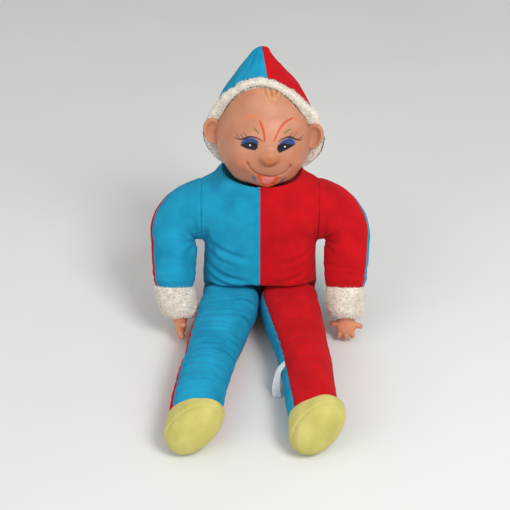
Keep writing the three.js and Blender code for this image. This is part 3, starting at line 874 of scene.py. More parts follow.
# Soft vinyl has a satin skin that takes a broad highlight.
HAND_VINYL = SoftVinyl("soft_vinyl_hand", "vinyl", "#d79370", "#c67f5b", False)
FACE_VINYL = SoftVinyl("soft_vinyl_face", "vinyl", "#c3876a", "#b37657", True)
# Polyester wadding is a bright tangle of fibres.
WADDING = MottledSoft("polyester_wadding", "wadding", "#f2eee6", "#dcd6ca", 9, 1.2, 1.2, 0.2)
# Woven acetate is a smooth cool white with hardly any relief.
RIBBON = MottledSoft("woven_acetate_ribbon", "ribbon", "#e9ecee", "#d7dbdf", 6, 0.7, 0.12, 0.1)
# Dark sewing thread is dull and shows as short strokes on the plush; these dark strokes are also painted
# shade along the plush's outer edge.
EDGE_SHADE_THREAD = MottledSoft("sewing_thread_dark", "red_cloth", "#3a2f3c", "#241d28", 3, 0.5, 0.1, 0.0)
# Matt paper is an even pale ground that only takes the shadow.
PAPER = MottledSoft("matt_paper_floor", "", "#dcdbd7", "#d8d7d3", 400, 3, 0.05, 0.0)


def dress(
    piece: Object, finish: Finish, ride: str, nodes: Sequence[str] = ()
) -> None:
    """Gives a finished piece its material and its place in the part.

    Args:
        piece: The piece.
        finish: Its finish.
        ride: Body that it moves with.
        nodes: CAD nodes that it stands for.
    """
    piece.data.materials.clear()
    piece.data.materials.append(finish.material)
    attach(piece, ride)
    if nodes:
        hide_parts(*nodes)
    log.info("%s: %d faces", piece.name, len(piece.data.polygons))


def sew(
    panels: Sequence[tuple[str, slice, Finish]], grid: Array, outward: Array,
    place: Place, ride: str,
) -> None:
    """Cuts cloth panels out of a whole surface, each a thin closed piece.

    Args:
        panels: CAD node, columns and finish of each panel.
        grid: The whole surface.
        outward: Outward directions of the grid.
        place: Where the group sits.
        ride: Body that the panels move with.
    """
    for node, columns, finish in panels:
        data = shell_data(grid[:, columns], CLOTH, False, outward[:, columns])
        dress(new_piece(node + "_cloth", data, place), finish, ride, [node])


def stuff(name: str, grid: Array, place: Place, ride: str) -> None:
    """Makes the wadding that stands for a solid of stuffing."""
    dress(new_piece(name + "_wadding", solid_data(grid), place), WADDING, ride, [name + "_stuffing"])


@dataclass
class SlackCloth:
    """Cloth cut a little larger than its stuffing, which a short simulation swells between its seams."""

    slack: float = 0.03
    pressure: float = 9000.0
    stiffness: float = 60.0
    frames: int = 14
    limit: float = 1.5

    def sewn_up(self, name: str, coarse: Array, held: Array) -> Object:
        """The cloth as it lies on the stuffing, ready to settle.

        Args:
            name: Name of the piece.
            coarse: Grid of its points, with no column repeated.
            held: How firmly each point is held, from 0 to 1.

        Returns:
            An object with the Cloth modifier.
        """
        points = coarse.reshape(-1, 3)
        faces = grid_faces(*coarse.shape[:2], 0, True, False)
        middle = points.mean(0)
        a, b, c = (points[faces[:, i]] - middle for i in range(3))
        if np.sum(a * np.cross(b, c)) < 0:
            faces = faces[:, ::-1]
        piece = add_object(name, new_mesh(name, points, faces))
        group = piece.vertex_groups.new(name="held")
        for index in np.flatnonzero(held.ravel()):
            group.add([int(index)], float(held.ravel()[index]), "REPLACE")
        cloth = piece.modifiers.new("cloth", "CLOTH")
        settings = {
            "quality": 6, "mass": 0.15, "air_damping": 3, "bending_stiffness": 0.02, "use_pressure": True,
            "tension_stiffness": self.stiffness, "compression_stiffness": self.stiffness,
            "shear_stiffness": self.stiffness / 3, "uniform_pressure_force": self.pressure,
            "vertex_group_mass": "held", "shrink_min": -self.slack,
        }
        for word, value in settings.items():
            setattr(cloth.settings, word, value)
        cloth.settings.effector_weights.gravity = 0
        cloth.collision_settings.use_collision = False
        cloth.point_cache.frame_start, cloth.point_cache.frame_end = 1, self.frames
        return piece

    def settle(
        self, name: str, grid: Array, ends: tuple[int, int], seams: Sequence[int], steps: tuple[int, int]
    ) -> Array:
        """Runs the simulation on some rows of a surface.

        Args:
            name: Name of the piece.
            grid: The surface, its first column repeated.
            ends: First row that takes part, and the row after the last.
            seams: Columns that a seam holds.
            steps: Rows and columns of the grid to each simulated point.

        Returns:
            Outward moves of the grid's points.
        """
        moves = np.zeros(grid.shape[:2])
        rows = np.arange(ends[0], ends[1] - 1, steps[0])
        columns = np.arange(0, grid.shape[1] - 1, steps[1])
        pick = np.ix_(rows, columns)
        outward = normals_of(grid, True)
        coarse = (grid + 0.2 * wander(grid, 12, 5)[..., None] * outward)[pick]
        held = np.zeros(coarse.shape[:2])
        held[:, np.isin(columns, np.array(seams))] = 0.95
        held[:2], held[-2:] = 1, 1
        piece = self.sewn_up(name + "_slack", coarse, held)
        scene = bpy.context.scene
        for moment in range(1, self.frames + 1):
            scene.frame_set(moment)
        shaped = piece.evaluated_get(bpy.context.evaluated_depsgraph_get()).to_mesh()
        found = np.zeros(3 * len(shaped.vertices), np.float32)
        shaped.vertices.foreach_get("co", found)
        bpy.data.objects.remove(piece)
        scene.frame_set(1)
        move = np.sum((found.reshape(coarse.shape) / MM - coarse) * outward[pick], axis=-1)
        log.info("%s settles by %.3f to %.3f mm, spread %.3f mm", name, move.min(), move.max(), move.std())
        move = self.limit * np.tanh(move / self.limit)
        move = np.concatenate([move, move[:, :1]], axis=1)
        knots = np.append(columns, grid.shape[1] - 1)
        wide = np.array([np.interp(np.arange(grid.shape[1]), knots, row) for row in move])
        every = np.arange(grid.shape[0])
        moves[:] = np.array([np.interp(every, rows, column, left=0, right=0) for column in wide.T]).T
        return relaxed(moves[..., None], 4, True)[..., 0]


@dataclass
class Torso:
    """Stuffed body of the suit: two front and two back panels round one filling."""

    lean: float = 12.0
    height: float = 222.5
    half_width: float = 83.0
    half_depth: float = 55.0
    power: float = 2.5
    seam_back: float = 14.0
    collar_seam: float = 15.0
    shoulder_half: float = 84.0
    shoulder_radius: float = 43.0
    chest_swell: float = 4.0
    lap: float = 2.5
    lap_dip: float = 0.35
    lap_room: float = 0.22  # between the shoulder and the sleeve that laps it
    armpit_room: float = 1.7  # between the armpit and the edge of the lap
    hip_forward: float = 28.0
    hip_height: float = 35.5
    hip_clear: float = 36.5
    hip_slope: float = 20.0
    collar: float = 75.2
    seam_rise: tuple = (150.0, 205.0)  # heights over which the side seam swings back to the collar
    seat: tuple = (12.0, 72.0)  # how far back the seat lies, and the height at which that ends
    far: float = 140.0  # past any point of the body
    blend: float = 5.0
    floor: float = 0.2
    end_rows: tuple = (10, 26)
    quarter: int = 64
    rows: int = 150
    filling: tuple = (5.5, 40, 12)  # its depth under the cloth, its rows, and its columns in a quarter
    fill: float = 0.85
    profile: tuple = (
        (0.0, 0.76, 0.78), (0.05, 0.93, 0.94), (0.2, 1.0, 1.02), (0.45, 0.98, 1.0), (0.68, 0.96, 0.98),
        (0.84, 0.91, 0.93), (0.94, 0.79, 0.91), (1.0, 0.63, 0.87),
    )
    place: Place = field(init=False)
    head: Array = field(init=False)
    shoulder: Array = field(init=False)

    def __post_init__(self) -> None:
        """Finds the torso's foot, the head and the shoulders from the joints."""
        hip = joint_place("right_hip")
        foot = np.array([0.0, hip[1] + self.hip_forward, 0.0])
        self.place = Place(np.eye(3), foot)
        self.head = joint_place("head_turn") - foot
        self.shoulder = joint_place("right_shoulder") - foot

    def out_of_hips(self, points: Array, clear: float) -> Array:
        """Points moved clear of the room that the tops of the legs turn in.

        Args:
            points: Points in the torso's frame.
            clear: Radius of the room about the hip line.

        Returns:
            The moved points.
        """
        y, z = points[..., 1] + self.hip_forward, points[..., 2] - self.hip_height
        tilt = radians(90 - self.hip_slope)
        angle = np.clip(np.arctan2(z, y), 0, tilt)
        ny, nz = np.cos(angle), np.sin(angle)
        inside = np.maximum(0, clear - (y * ny + z * nz))
        moved = points.copy()
        moved[..., 1] += inside * ny
        moved[..., 2] += inside * nz
        return moved

    def out_of_collar(self, points: Array, clear: float) -> Array:
        """Points moved out of the bowl, of a clear radius, in which the head turns."""
        far = np.linalg.norm(points - self.head, axis=-1, keepdims=True)
        return self.head + (points - self.head) * np.maximum(1, clear / np.maximum(far, 1e-6))

    def under_collar(self, points: Array, clear: float) -> Array:
        """Points of the filling lowered out of the bowl in which the head turns.

        Args:
            points: Points in the torso's frame.
            clear: Radius of the bowl.

        Returns:
            The moved points.
        """
        aside = np.sum((points - self.head)[..., :2] ** 2, axis=-1)
        floor = self.head[2] - np.sqrt(np.maximum(clear**2 - aside, 0))
        moved = points.copy()
        moved[..., 2] = np.where(aside < clear**2, np.minimum(points[..., 2], floor), points[..., 2])
        return moved

    def front_wall(self, z: Array, clear: float) -> Array:
        """How far forward the torso may reach, over the legs.

        Args:
            z: Heights in the torso's frame.
            clear: Radius of the room about the hip line.

        Returns:
            The furthest place forward at each height.
        """
        slope = radians(self.hip_slope)
        rise = z - self.hip_height
        arc = np.sqrt(np.maximum(clear**2 - np.clip(rise, 0, clear) ** 2, 0))
        top = clear * math.cos(slope)
        line = clear * math.sin(slope) - (rise - top) / math.tan(slope)
        return -self.hip_forward + np.where(rise < top, arc, line)

    def form(self, inset: float, rows: int, quarter: int) -> Array:
        """The body's surface, drawn in by an inset.

        Args:
            inset: Depth under the cloth's outside.
            rows: Rows up the body.
            quarter: Columns in each quarter.

        Returns:
            Grid of the surface, whose columns start at the left side seam.
        """
        lean = math.tan(radians(self.lean))
        rise = np.linspace(0, 1, rows)[:, None]
        z = inset + rise * (self.height - 2 * inset)
        set_back = radians(self.collar_seam) * ease(*self.seam_rise, z)
        share = np.linspace(0, 2, 4 * quarter + 1)[None, :]
        turn = np.where(
            share < 1,
            set_back + share * (pi - 2 * set_back),
            pi - set_back + (share - 1) * (pi + 2 * set_back),
        )
        cos, sin = np.cos(turn), np.sin(turn)
        wide, deep = smooth_rows(self.profile, rise)
        half_width = self.half_width * wide - inset
        half_depth = self.half_depth * deep - inset
        shift = self.seam_back + self.seat[0] * (1 - ease(0, self.seat[1], z))
        start = z * lean + shift

        def inside(reach: Array) -> Array:
            """Whether reaches lie in the body's outline."""
            aside = np.abs(reach * cos / half_width) ** self.power
            return aside + np.abs((start + reach * sin - z * lean) / half_depth) ** self.power < 1

        reach = furthest(inside, np.full((rows, turn.shape[1]), self.far), 36)
        yoke = np.zeros_like(reach)
        across = np.clip(reach * cos, -self.shoulder_half, self.shoulder_half)
        for _ in range(4):
            swell = self.chest_swell * (1 - (across / self.shoulder_half) ** 2)
            radius = self.shoulder_radius + swell - inset
            deep_half = np.sqrt(np.maximum(radius**2 - (z - self.shoulder[2]) ** 2, 0))
            front = (self.shoulder[1] - deep_half - start) / np.minimum(sin, -1e-6)
            back = (self.shoulder[1] + deep_half - start) / np.maximum(sin, 1e-6)
            by_depth = np.where(sin < 0, front, back)
            by_width = (self.shoulder_half - inset) / np.maximum(np.abs(cos), 1e-6)
            yoke = soft_min(by_depth, by_width, 4.0)
            yoke = np.where((deep_half > 1) & (yoke > 0), yoke, 0)
            across = np.clip(yoke * cos, -self.shoulder_half, self.shoulder_half)
        reach = np.where(yoke > 0, soft_max(reach, yoke, self.blend) - 0.6, reach)
        wall = (self.front_wall(z, self.hip_clear + inset) - start) / np.minimum(sin, -1e-6)
        reach = np.where(sin < -1e-3, soft_min(reach, wall, self.blend), reach)

        grid = np.stack([reach * cos, start + reach * sin, np.broadcast_to(z, reach.shape)], -1)
        shares = [np.linspace(0, 1, count, endpoint=False) for count in self.end_rows]
        hubs = [np.array([0, start[end, 0], z[end, 0]]) for end in (0, -1)]
        first, last = cap(hubs[0], grid[0], shares[0]), cap(hubs[1], grid[-1], shares[1][::-1])
        grid = np.concatenate([first, grid, last])
        if inset:
            grid = self.under_collar(grid, self.collar + inset)
        else:
            grid = self.out_of_collar(grid, self.collar)
        grid = self.square_shoulders(relaxed(grid, 5, True), inset)
        grid = self.out_of_hips(grid, self.hip_clear + inset)
        grid[..., 2] = np.maximum(grid[..., 2], self.floor + inset)
        return grid

    def from_edge(self, grid: Array, inset: float) -> tuple[Array, Array, Array]:
        """Where points lie at the shoulder ends, to which the arms are sewn.

        Args:
            grid: Points in the torso's frame.
            inset: Depth under the cloth's outside.

        Returns:
            Distance in from the end, depth under the round of the shoulder, and the shoulder's radius there.
        """
        x = np.abs(grid[..., 0])
        radius = self.shoulder_radius + self.chest_swell * (1 - (x / self.shoulder_half) ** 2) - inset
        middle = self.shoulder[1:]
        deep = radius - np.linalg.norm(grid[..., 1:] - middle, axis=-1)
        return self.shoulder_half - inset - x, deep, radius

    def square_shoulders(self, grid: Array, inset: float) -> Array:
        """Draws the shoulder ends out to a crisp edge, flush with the arms.

        Args:
            grid: Points in the torso's frame.
            inset: Depth under the cloth's outside.

        Returns:
            The moved points.
        """
        end, deep, radius = self.from_edge(grid, inset)
        near = (end < 7) & (deep < 7) & (deep > -0.8)
        edge = near & (np.maximum(end, deep) < 2.4)
        on_end = (near & (end <= deep)) | edge
        on_round = (near & (end > deep)) | edge
        sign = np.sign(grid[..., 0])
        moved = grid.copy()
        moved[..., 0] = np.where(on_end, sign * (self.shoulder_half - inset), grid[..., 0])
        spoke = grid[..., 1:] - self.shoulder[1:]
        dip = self.lap_dip * bell(end, 4)
        round_off = self.shoulder[1:] + unit(spoke) * (radius - dip)[..., None]
        moved[..., 1:] = np.where(on_round[..., None], round_off, grid[..., 1:])
        return moved

    def under_sleeves(self, grid: Array) -> Array:
        """Draws the shoulder ends and armpits in under the lapped edges of the sleeves.

        Args:
            grid: Points in the torso's frame.

        Returns:
            The moved points.
        """
        end, deep, radius = self.from_edge(grid, 0.0)
        below = (end < self.lap + self.armpit_room) & (deep <= -0.9) & (deep > -3.5)
        proud = (end < self.lap + 0.4) & (deep > -0.9) & (deep < self.lap_room)
        moved = grid.copy()
        drawn = np.sign(grid[..., 0]) * (self.shoulder_half - self.lap - self.armpit_room)
        moved[..., 0] = np.where(below, drawn, grid[..., 0])
        spoke = unit(grid[..., 1:] - self.shoulder[1:])
        round_off = self.shoulder[1:] + spoke * (radius - self.lap_room)[..., None]
        moved[..., 1:] = np.where(proud[..., None], round_off, grid[..., 1:])
        return moved

    def creases(self, grid: Array) -> Array:
        """Sewn seams, sitting folds and stuffing lumps.

        Args:
            grid: The body's surface.

        Returns:
            Outward moves.
        """
        across, down = runs_of(grid)
        seams = [i * self.quarter for i in range(5)]
        move = seam_pull(seam_ways(across, seams), down, 11, 0.8)
        ends = (self.end_rows[0] + 1, len(grid) - self.end_rows[1] - 4)
        move += SlackCloth(slack=0.008, pressure=500.0).settle("torso", grid, ends, seams, (3, 2))
        x, z = grid[..., 0], grid[..., 2]
        front = ease(12, -18, grid[..., 1] - z * math.tan(radians(self.lean)))
        sag = np.zeros_like(x)
        for line, width, deep in (
            ([(-82, 104), (-48, 92), (-14, 86)], 3.4, 2.4),
            ([(-82, 141), (-50, 128), (-16, 119)], 3.8, 1.9),
            ([(-80, 88), (-44, 80), (-10, 78)], 3.0, 1.9),
            ([(-78, 121), (-56, 113), (-34, 109)], 3.0, 1.2),
            ([(80, 100), (46, 88), (12, 84)], 3.4, 1.5),
            ([(82, 126), (56, 116), (24, 112)], 3.6, 1.2),
            ([(-80, 160), (-70, 138), (-64, 118)], 3.2, 1.8),
            ([(80, 160), (70, 138), (64, 118)], 3.2, 1.7),
        ):
            sag += fold(x, z, line, width, deep)
        move += front * sag
        move += 0.9 * wander(grid, 46, 3) + 0.35 * wander(grid, 17, 4)
        back = 1 - front
        move += back * 0.5 * np.sin(z / 8.5 + 1.5 * wander(grid, 40, 6)) * ease(110, 60, z)
        end, deep, _ = self.from_edge(grid, 0.0)
        way = np.where(deep > -4, np.maximum(end, deep), 99.0)
        low = ease(16, -16, z - self.shoulder[2]) * ease(self.lap, 7, end)
        return move * ease(self.lap, 13, way) - 1.6 * low * bell(way - 8, 4.5)

    def build(self) -> None:
        """Makes the four panels and the filling."""
        grid = self.form(0.0, self.rows, self.quarter)
        grid = pushed(grid, self.creases(grid))
        grid[..., 0] = np.clip(grid[..., 0], -self.shoulder_half, self.shoulder_half)
        grid = self.under_sleeves(grid)
        grid = self.out_of_hips(self.out_of_collar(grid, self.collar), self.hip_clear)
        grid[..., 2] = np.maximum(grid[..., 2], self.floor)
        colours = {"back_left": BLUE, "back_right": RED, "front_right": BLUE, "front_left": RED}
        panels = [
            (f"torso_{word}", slice(i * self.quarter, (i + 1) * self.quarter + 1), finish)
            for i, (word, finish) in enumerate(colours.items())
        ]
        sew(panels, grid, normals_of(grid, True), self.place, "torso")
        filling = self.form(*self.filling)
        stuff("torso", pushed(filling, 0.25 * wander(filling, 12, 8)), self.place, "torso")


def superellipse(angle: Array, power: Array) -> tuple[Array, Array]:
    """Across and up shares of a rounded outline at an angle."""
    c, s = np.cos(angle), np.sin(angle)
    return np.sign(c) * np.abs(c) ** (2 / power), np.sign(s) * np.abs(s) ** (2 / power)


def seam_turns(height: Callable[[Array], Array], half: int) -> Array:
    """Column angles of one ring, so that its seams fall on fixed columns.

    Args:
        height: Height over the seam plane at given outline angles.
        half: Columns in each half.

    Returns:
        Angles of 2 * half + 1 columns: the front half, over the plane, comes first.
    """
    angle = full_turn(720)
    level = height(angle)
    up = np.where((level[:-1] <= 0) & (level[1:] > 0))[0]
    down = np.where((level[:-1] > 0) & (level[1:] <= 0))[0]
    if not len(up) or not len(down):
        return full_turn(2 * half)

    def crossing(i: int) -> float:
        """The angle at which the ring meets the plane after step i."""
        share = level[i] / (level[i] - level[i + 1])
        return float(angle[i] + share * (angle[i + 1] - angle[i]))

    rise, fall = crossing(up[0]), crossing(down[0])
    if fall < rise:
        fall += 2 * pi
    front = np.linspace(rise, fall, half + 1)
    back = np.linspace(fall, rise + 2 * pi, half + 1)
    return np.concatenate([front, back[1:]])


@dataclass
class Limb:
    """What arms and legs share: two cloth halves, whose colours swap from side to side."""

    side: Side
    half: int = 72

    @property
    def seams(self) -> list[int]:
        """Columns on which the side seams run."""
        return [0, self.half, 2 * self.half]

    def sew_halves(self, limb: str, grid: Array, thin: slice = slice(0, 0)) -> None:
        """Makes the two cloth halves of a limb from its whole surface.

        Args:
            limb: The limb's body.
            grid: The surface; the front half's columns come first.
            thin: Rows of a lapped edge, which is all outside.
        """
        outward = normals_of(grid, True)
        outward[thin] *= 0.01
        halves = (slice(0, self.half + 1), slice(self.half, None))
        colours = (BLUE, RED) if self.side is Side.RIGHT else (RED, BLUE)
        panels = [(f"{limb}_{part.value}", *half) for part, *half in zip(Part, halves, colours)]
        sew(panels, grid, outward, self.place, limb)


@dataclass
class Arm(Limb):
    """Stuffed sleeve from the shoulder, its plush cuff and its moulded hand."""

    shoulder_radius: float = 43.0
    armpit: float = 3.0
    upper_radius: float = 31.5
    wrist_radius: float = 27.5
    sleeve: float = 110.0
    swing: float = 33.0
    seam_turn: float = 24.0
    cuff_length: float = 43.0
    cuff_radius: float = 27.0
    cuff_wall: float = 6.0
    cuff_lip: float = 5.0
    wrist_neck: float = 11.5
    gap: float = 0.3
    lap: tuple = (
        (-0.15, 42.95), (-2.25, 43.1), (-2.6, 43.12), (-2.7, 43.2), (-2.55, 43.3), (-1.3, 43.39),
        (-0.25, 43.42),
    )
    end_rows: int = 14
    rows: int = 150
    filling: tuple = (5.0, 44, 14)  # its depth under the cloth, its rows, and its columns in a half

    @property
    def place(self) -> Place:
        """The arm hangs from the shoulder joint, swung forward."""
        return Place(turned("x", -self.swing), joint_place(f"{self.side.word}_shoulder"))

    @property
    def out(self) -> float:
        """How far out of the shoulder the straight sleeve hangs."""
        return 2 * self.armpit + self.upper_radius

    def ring(self, row: float) -> tuple[Array, Array, float]:
        """One ring of the sleeve.

        Args:
            row: Place along the sleeve, from 0 at the root, over 1 at the end of its bend, to 2 at the wrist.

        Returns:
            Its middle, its outward spoke and its radius.
        """
        sign = self.side.value
        if row <= 1:
            angle = row * pi / 2
            fall = row**0.7 * float(ease(0, 0.16, np.array(row)))
            radius = self.shoulder_radius + (self.upper_radius - self.shoulder_radius) * fall
            spoke = np.array([sign * math.sin(angle), 0, math.cos(angle)])
            middle = np.array([sign * self.armpit, 0, -self.shoulder_radius - self.armpit])
            middle = middle + spoke * (radius + self.armpit)
            middle[0] -= sign * self.armpit * (1 - min(1.0, row / 0.22)) ** 2
            return middle, spoke, radius
        part = row - 1
        drop = self.shoulder_radius + self.armpit
        drop += part * (self.sleeve - drop)
        radius = self.upper_radius + (self.wrist_radius - self.upper_radius) * part**2
        return np.array([sign * self.out, 0, -drop]), np.array([sign, 0, 0]), radius

    def form(self, inset: float, rows: int, half: int) -> Array:
        """The sleeve's surface, drawn in by an inset.

        Args:
            inset: Depth under the cloth's outside.
            rows: Rows along the sleeve.
            half: Columns in each half.

        Returns:
            Grid of the surface, from the closed root to the open wrist.
        """
        roll = radians(self.seam_turn)
        seam = np.array([-self.side.value * math.sin(roll), -math.cos(roll), 0])
        on_seam = self.side.value * self.out * X
        found = []
        bend, drop = np.linspace(0, 1, rows // 2, endpoint=False), np.linspace(1, 2, rows // 2)
        for row in np.concatenate([bend, drop]):
            middle, spoke, radius = self.ring(float(row))
            radius -= inset
            base = float((middle - on_seam) @ seam)
            a, b = float(spoke @ seam), float(Y @ seam)
            turn = seam_turns(lambda t: base + radius * (np.cos(t) * a + np.sin(t) * b), half)
            found.append(middle + radius * (np.cos(turn)[:, None] * spoke + np.sin(turn)[:, None] * Y))
        grid = np.array(found)
        hub = self.side.value * inset * X
        grid[0] += hub
        return np.concatenate([cap(hub, grid[0], np.linspace(0, 1, self.end_rows, endpoint=False)), grid])

    def creases(self, grid: Array) -> Array:
        """Side seams, armpit folds, soft lumps and the sewn edge at the shoulder.

        Args:
            grid: The sleeve's surface.

        Returns:
            Outward moves.
        """
        across, down = runs_of(grid)
        move = seam_pull(seam_ways(across, self.seams), down, 21 + self.side.value, 0.8)
        ends = (self.end_rows + 2, len(grid))
        move += SlackCloth().settle(f"{self.side.word}_arm", grid, ends, self.seams, (4, 3))
        out, z = grid[..., 0] * self.side.value, grid[..., 2]
        aside, rise = out - self.armpit, z + self.shoulder_radius + self.armpit
        reach = np.hypot(aside, rise)
        near = bell(reach, 26) * ease(2, 9, reach)
        spread = np.degrees(np.arctan2(rise, aside))
        move += 1.3 * near * np.sin(spread / 7.0 + 1.2 * wander(grid, 30, 5))
        wrist = ease(-60, -80, z) * ease(-104, -96, z)
        move += 0.35 * wrist * np.sin(z / 2.1 + 1.6 * wander(grid, 22, 9))
        move += 0.7 * wander(grid, 38, 14 + self.side.value) + 0.28 * wander(grid, 15, 17)
        gather = bell(z + self.sleeve, 5) * ease(self.out - 45, self.out - 35, out)
        root = down - self.shoulder_radius
        edge = 0.42 * bell(root, 4) * (root > 0)
        groove = 1.3 * ease(16, -16, z) * bell(root - 8, 4.5)
        return (move - 1.2 * gather) * ease(0.3, 12, root) + edge - groove

    def lapped(self, grid: Array) -> Array:
        """Laps the sleeve's edge over the end of the shoulder, where it is sewn on.

        Args:
            grid: The sleeve's surface.

        Returns:
            The surface with the lap in place of its root ring.
        """
        spoke = unit(grid[self.end_rows] * (Y + Z))
        edge = [x * self.side.value * X + radius * spoke for x, radius in self.lap]
        return np.concatenate([grid[: self.end_rows], edge, grid[self.end_rows + 1 :]])

    def build(self) -> None:
        """Makes the sleeve and its filling."""
        word, sign = f"{self.side.word}_arm", self.side.value
        grid = self.form(0.0, self.rows, self.half)
        bend = slice(self.end_rows + 3, None)
        grid[bend] = relaxed(grid, 4, True)[bend]
        grid = pushed(grid, self.creases(grid))
        grid[..., 0] = sign * np.maximum(sign * grid[..., 0], 0.0)
        grid[: self.end_rows + 1, :, 0] -= 0.15 * sign
        self.sew_halves(word, self.lapped(grid), slice(self.end_rows, self.end_rows + len(self.lap)))
        filling = self.form(*self.filling)
        end = np.array([sign * self.out, 0, -self.sleeve])
        filling = np.concatenate([filling, cap(end, filling[-1], np.linspace(0.9, 0, 8))])
        stuff(word, filling, self.place, word)


@dataclass
class Leg(Limb):
    """Stuffed leg from the hip, sitting flat on the floor. Bends are its ways aside, turns in degrees."""

    hip_radius: float = 36.0
    hip_half_width: float = 41.0
    hip_power: float = 3.4
    hip_height: float = 35.5
    length: float = 228.0
    knee_radius: float = 34.5
    ankle_radius: float = 32.0
    half: int = 80
    far: float = 90.0  # past any point of the rounded top
    hip_rows: int = 24
    rows: int = 280
    filling: tuple = (7.0, 40, 14)  # as for the arm
    bends: dict = field(
        default_factory=lambda: {
            Side.RIGHT: {"knee": 26.0, "ankle": 42.0, "seam": 20.0, "roll": 48.0, "rings": 1.0},
            Side.LEFT: {"knee": 17.0, "ankle": 27.0, "seam": 30.0, "roll": 42.0, "rings": 0.42},
        }
    )

    @property
    def floor(self) -> float:
        """Height of the floor in the leg's frame, with a hair's room."""
        return -self.hip_height + 0.1

    @property
    def place(self) -> Place:
        """The leg turns about the hip joint."""
        return Place(np.eye(3), joint_place(f"{self.side.word}_hip"))

    def middle(self, part: float) -> Array:
        """Middle of the leg.

        Args:
            part: Share of its length.

        Returns:
            The point in the leg's frame.
        """
        bend, sign = self.bends[self.side], self.side.value
        knee = np.array([sign * bend["knee"], -0.5 * self.length, self.knee_radius - self.hip_radius])
        ankle = np.array([sign * bend["ankle"], -self.length, self.ankle_radius - self.hip_radius])
        return knee * 4 * part * (1 - part) + ankle * part * (2 * part - 1)

    def ahead(self, part: float) -> Array:
        """Level direction along the leg, towards the foot."""
        return unit((self.middle(part + 0.01) - self.middle(part - 0.01)) * (X + Y))

    def across(self, part: float) -> Array:
        """Level direction across the leg, towards +X."""
        way = self.ahead(part)
        return np.array([-way[1], way[0], 0.0])

    @property
    def seam(self) -> Array:
        """Direction that the front half faces."""
        roll, end = radians(self.bends[self.side]["seam"]), self.middle(1.0)
        return Z * math.cos(roll) + unit(np.array([-end[1], end[0], 0.0])) * math.sin(roll)

    def form(self, inset: float, rows: int, half: int) -> Array:
        """The leg's surface, drawn in by an inset.

        Args:
            inset: Depth under the cloth's outside.
            rows: Rows along the leg.
            half: Columns in each half.

        Returns:
            Grid of the surface, from the closed top to the open ankle.
        """
        radius, wide = self.hip_radius - inset, self.hip_half_width - inset
        seam = self.seam
        found = []
        for turn in np.linspace(0, pi / 2, self.hip_rows, endpoint=False):
            back = radius * math.cos(turn)

            def inside(reach: Array, angle: Array) -> Array:
                """Whether reaches lie in the rounded top's slice at outline angles."""
                deep = np.hypot(reach * np.sin(angle), back) / radius
                return deep**self.hip_power + np.abs(reach * np.cos(angle) / wide) ** self.hip_power < 1

            def slice_at(angle: Array) -> Array:
                """Points of the slice at outline angles."""
                far = furthest(lambda reach: inside(reach, angle), np.full_like(angle, self.far), 32)
                return np.stack([far * np.cos(angle), np.full_like(far, back), far * np.sin(angle)], -1)

            angles = seam_turns(lambda t: slice_at(t) @ seam, half)
            found.append(slice_at(angles))
        for part in np.linspace(0, 1, rows):
            first = min(1.0, 2 * part)
            high = self.hip_radius + (self.knee_radius - self.hip_radius) * first
            high += (self.ankle_radius - self.knee_radius) * max(0.0, 2 * part - 1) - inset
            broad = high + (self.hip_half_width - self.hip_radius) * (1 - first)
            power = self.hip_power + (2 - self.hip_power) * min(1.0, 2.4 * part)
            middle = self.middle(float(part))
            bend = ease(0, 0.3, part)
            level = unit(self.across(float(part)) * bend + X * (1 - bend))

            def ring(angle: Array) -> Array:
                """Points of the leg's ring."""
                c, s = superellipse(angle, power)
                return middle + broad * c[:, None] * level + high * s[:, None] * Z

            found.append(ring(seam_turns(lambda t: ring(t) @ seam, half)))
        grid = np.array(found)
        grid[0] = grid[0].mean(0)
        return grid

    def creases(self, grid: Array) -> Array:
        """Side seams, rings of wrinkles and soft lumps.

        Args:
            grid: The leg's surface.

        Returns:
            Outward moves.
        """
        across, down = runs_of(grid)
        sign, along = self.side.value, -grid[..., 1]
        move = seam_pull(seam_ways(across, self.seams), down, 31 + sign, 0.9)
        ends = (self.hip_rows, len(grid))
        settled = SlackCloth().settle(f"{self.side.word}_leg", grid, ends, self.seams, (4, 2))
        move += settled * ease(4, 22, along)
        parts = np.clip(along.mean(1) / self.length, 0, 1)
        top = grid[..., 2] - np.array([self.middle(part)[2] for part in parts])[:, None]
        bow = along + 5.0 * np.cos(np.clip(top / 36, -1, 1) * pi / 2) + 2.2 * wander(grid, 60, 33)
        drift = 1.1 * wander(grid, 45, 34 + sign)
        wave = np.zeros_like(bow)
        for length, share in ((14.2, 1.0), (9.7, 0.6)):
            phase = np.sin(bow * pi / length + drift / share)
            wave += share * (0.4 - 1.5 * bell(phase, 0.38))
        patchy = 0.6 + 0.4 * wander(grid, 36, 35 + sign)
        shown = ease(8, 26, along) * (1 - 0.75 * ease(125, 205, along)) * ease(-24, 4, grid[..., 2])
        move += 2.1 * self.bends[self.side]["rings"] * shown * np.clip(patchy, 0.1, 1.2) * wave
        move += 0.8 * wander(grid, 44, 36 + sign) + 0.3 * wander(grid, 16, 38)
        return move - bell(along - self.length, 6)

    def build(self) -> None:
        """Makes the leg's halves and its filling."""
        word = f"{self.side.word}_leg"
        grid = self.form(0.0, self.rows, self.half)
        grid = pushed(grid, self.creases(grid))
        grid[..., 2] = np.maximum(grid[..., 2], self.floor)
        self.sew_halves(word, grid)
        filling = self.form(*self.filling)
        filling[..., 2] = np.maximum(filling[..., 2], -self.hip_height + 5.0)
        end = cap(filling[-1].mean(0), filling[-1], np.linspace(0.9, 0, 8))
        stuff(word, np.concatenate([filling, end]), self.place, word)


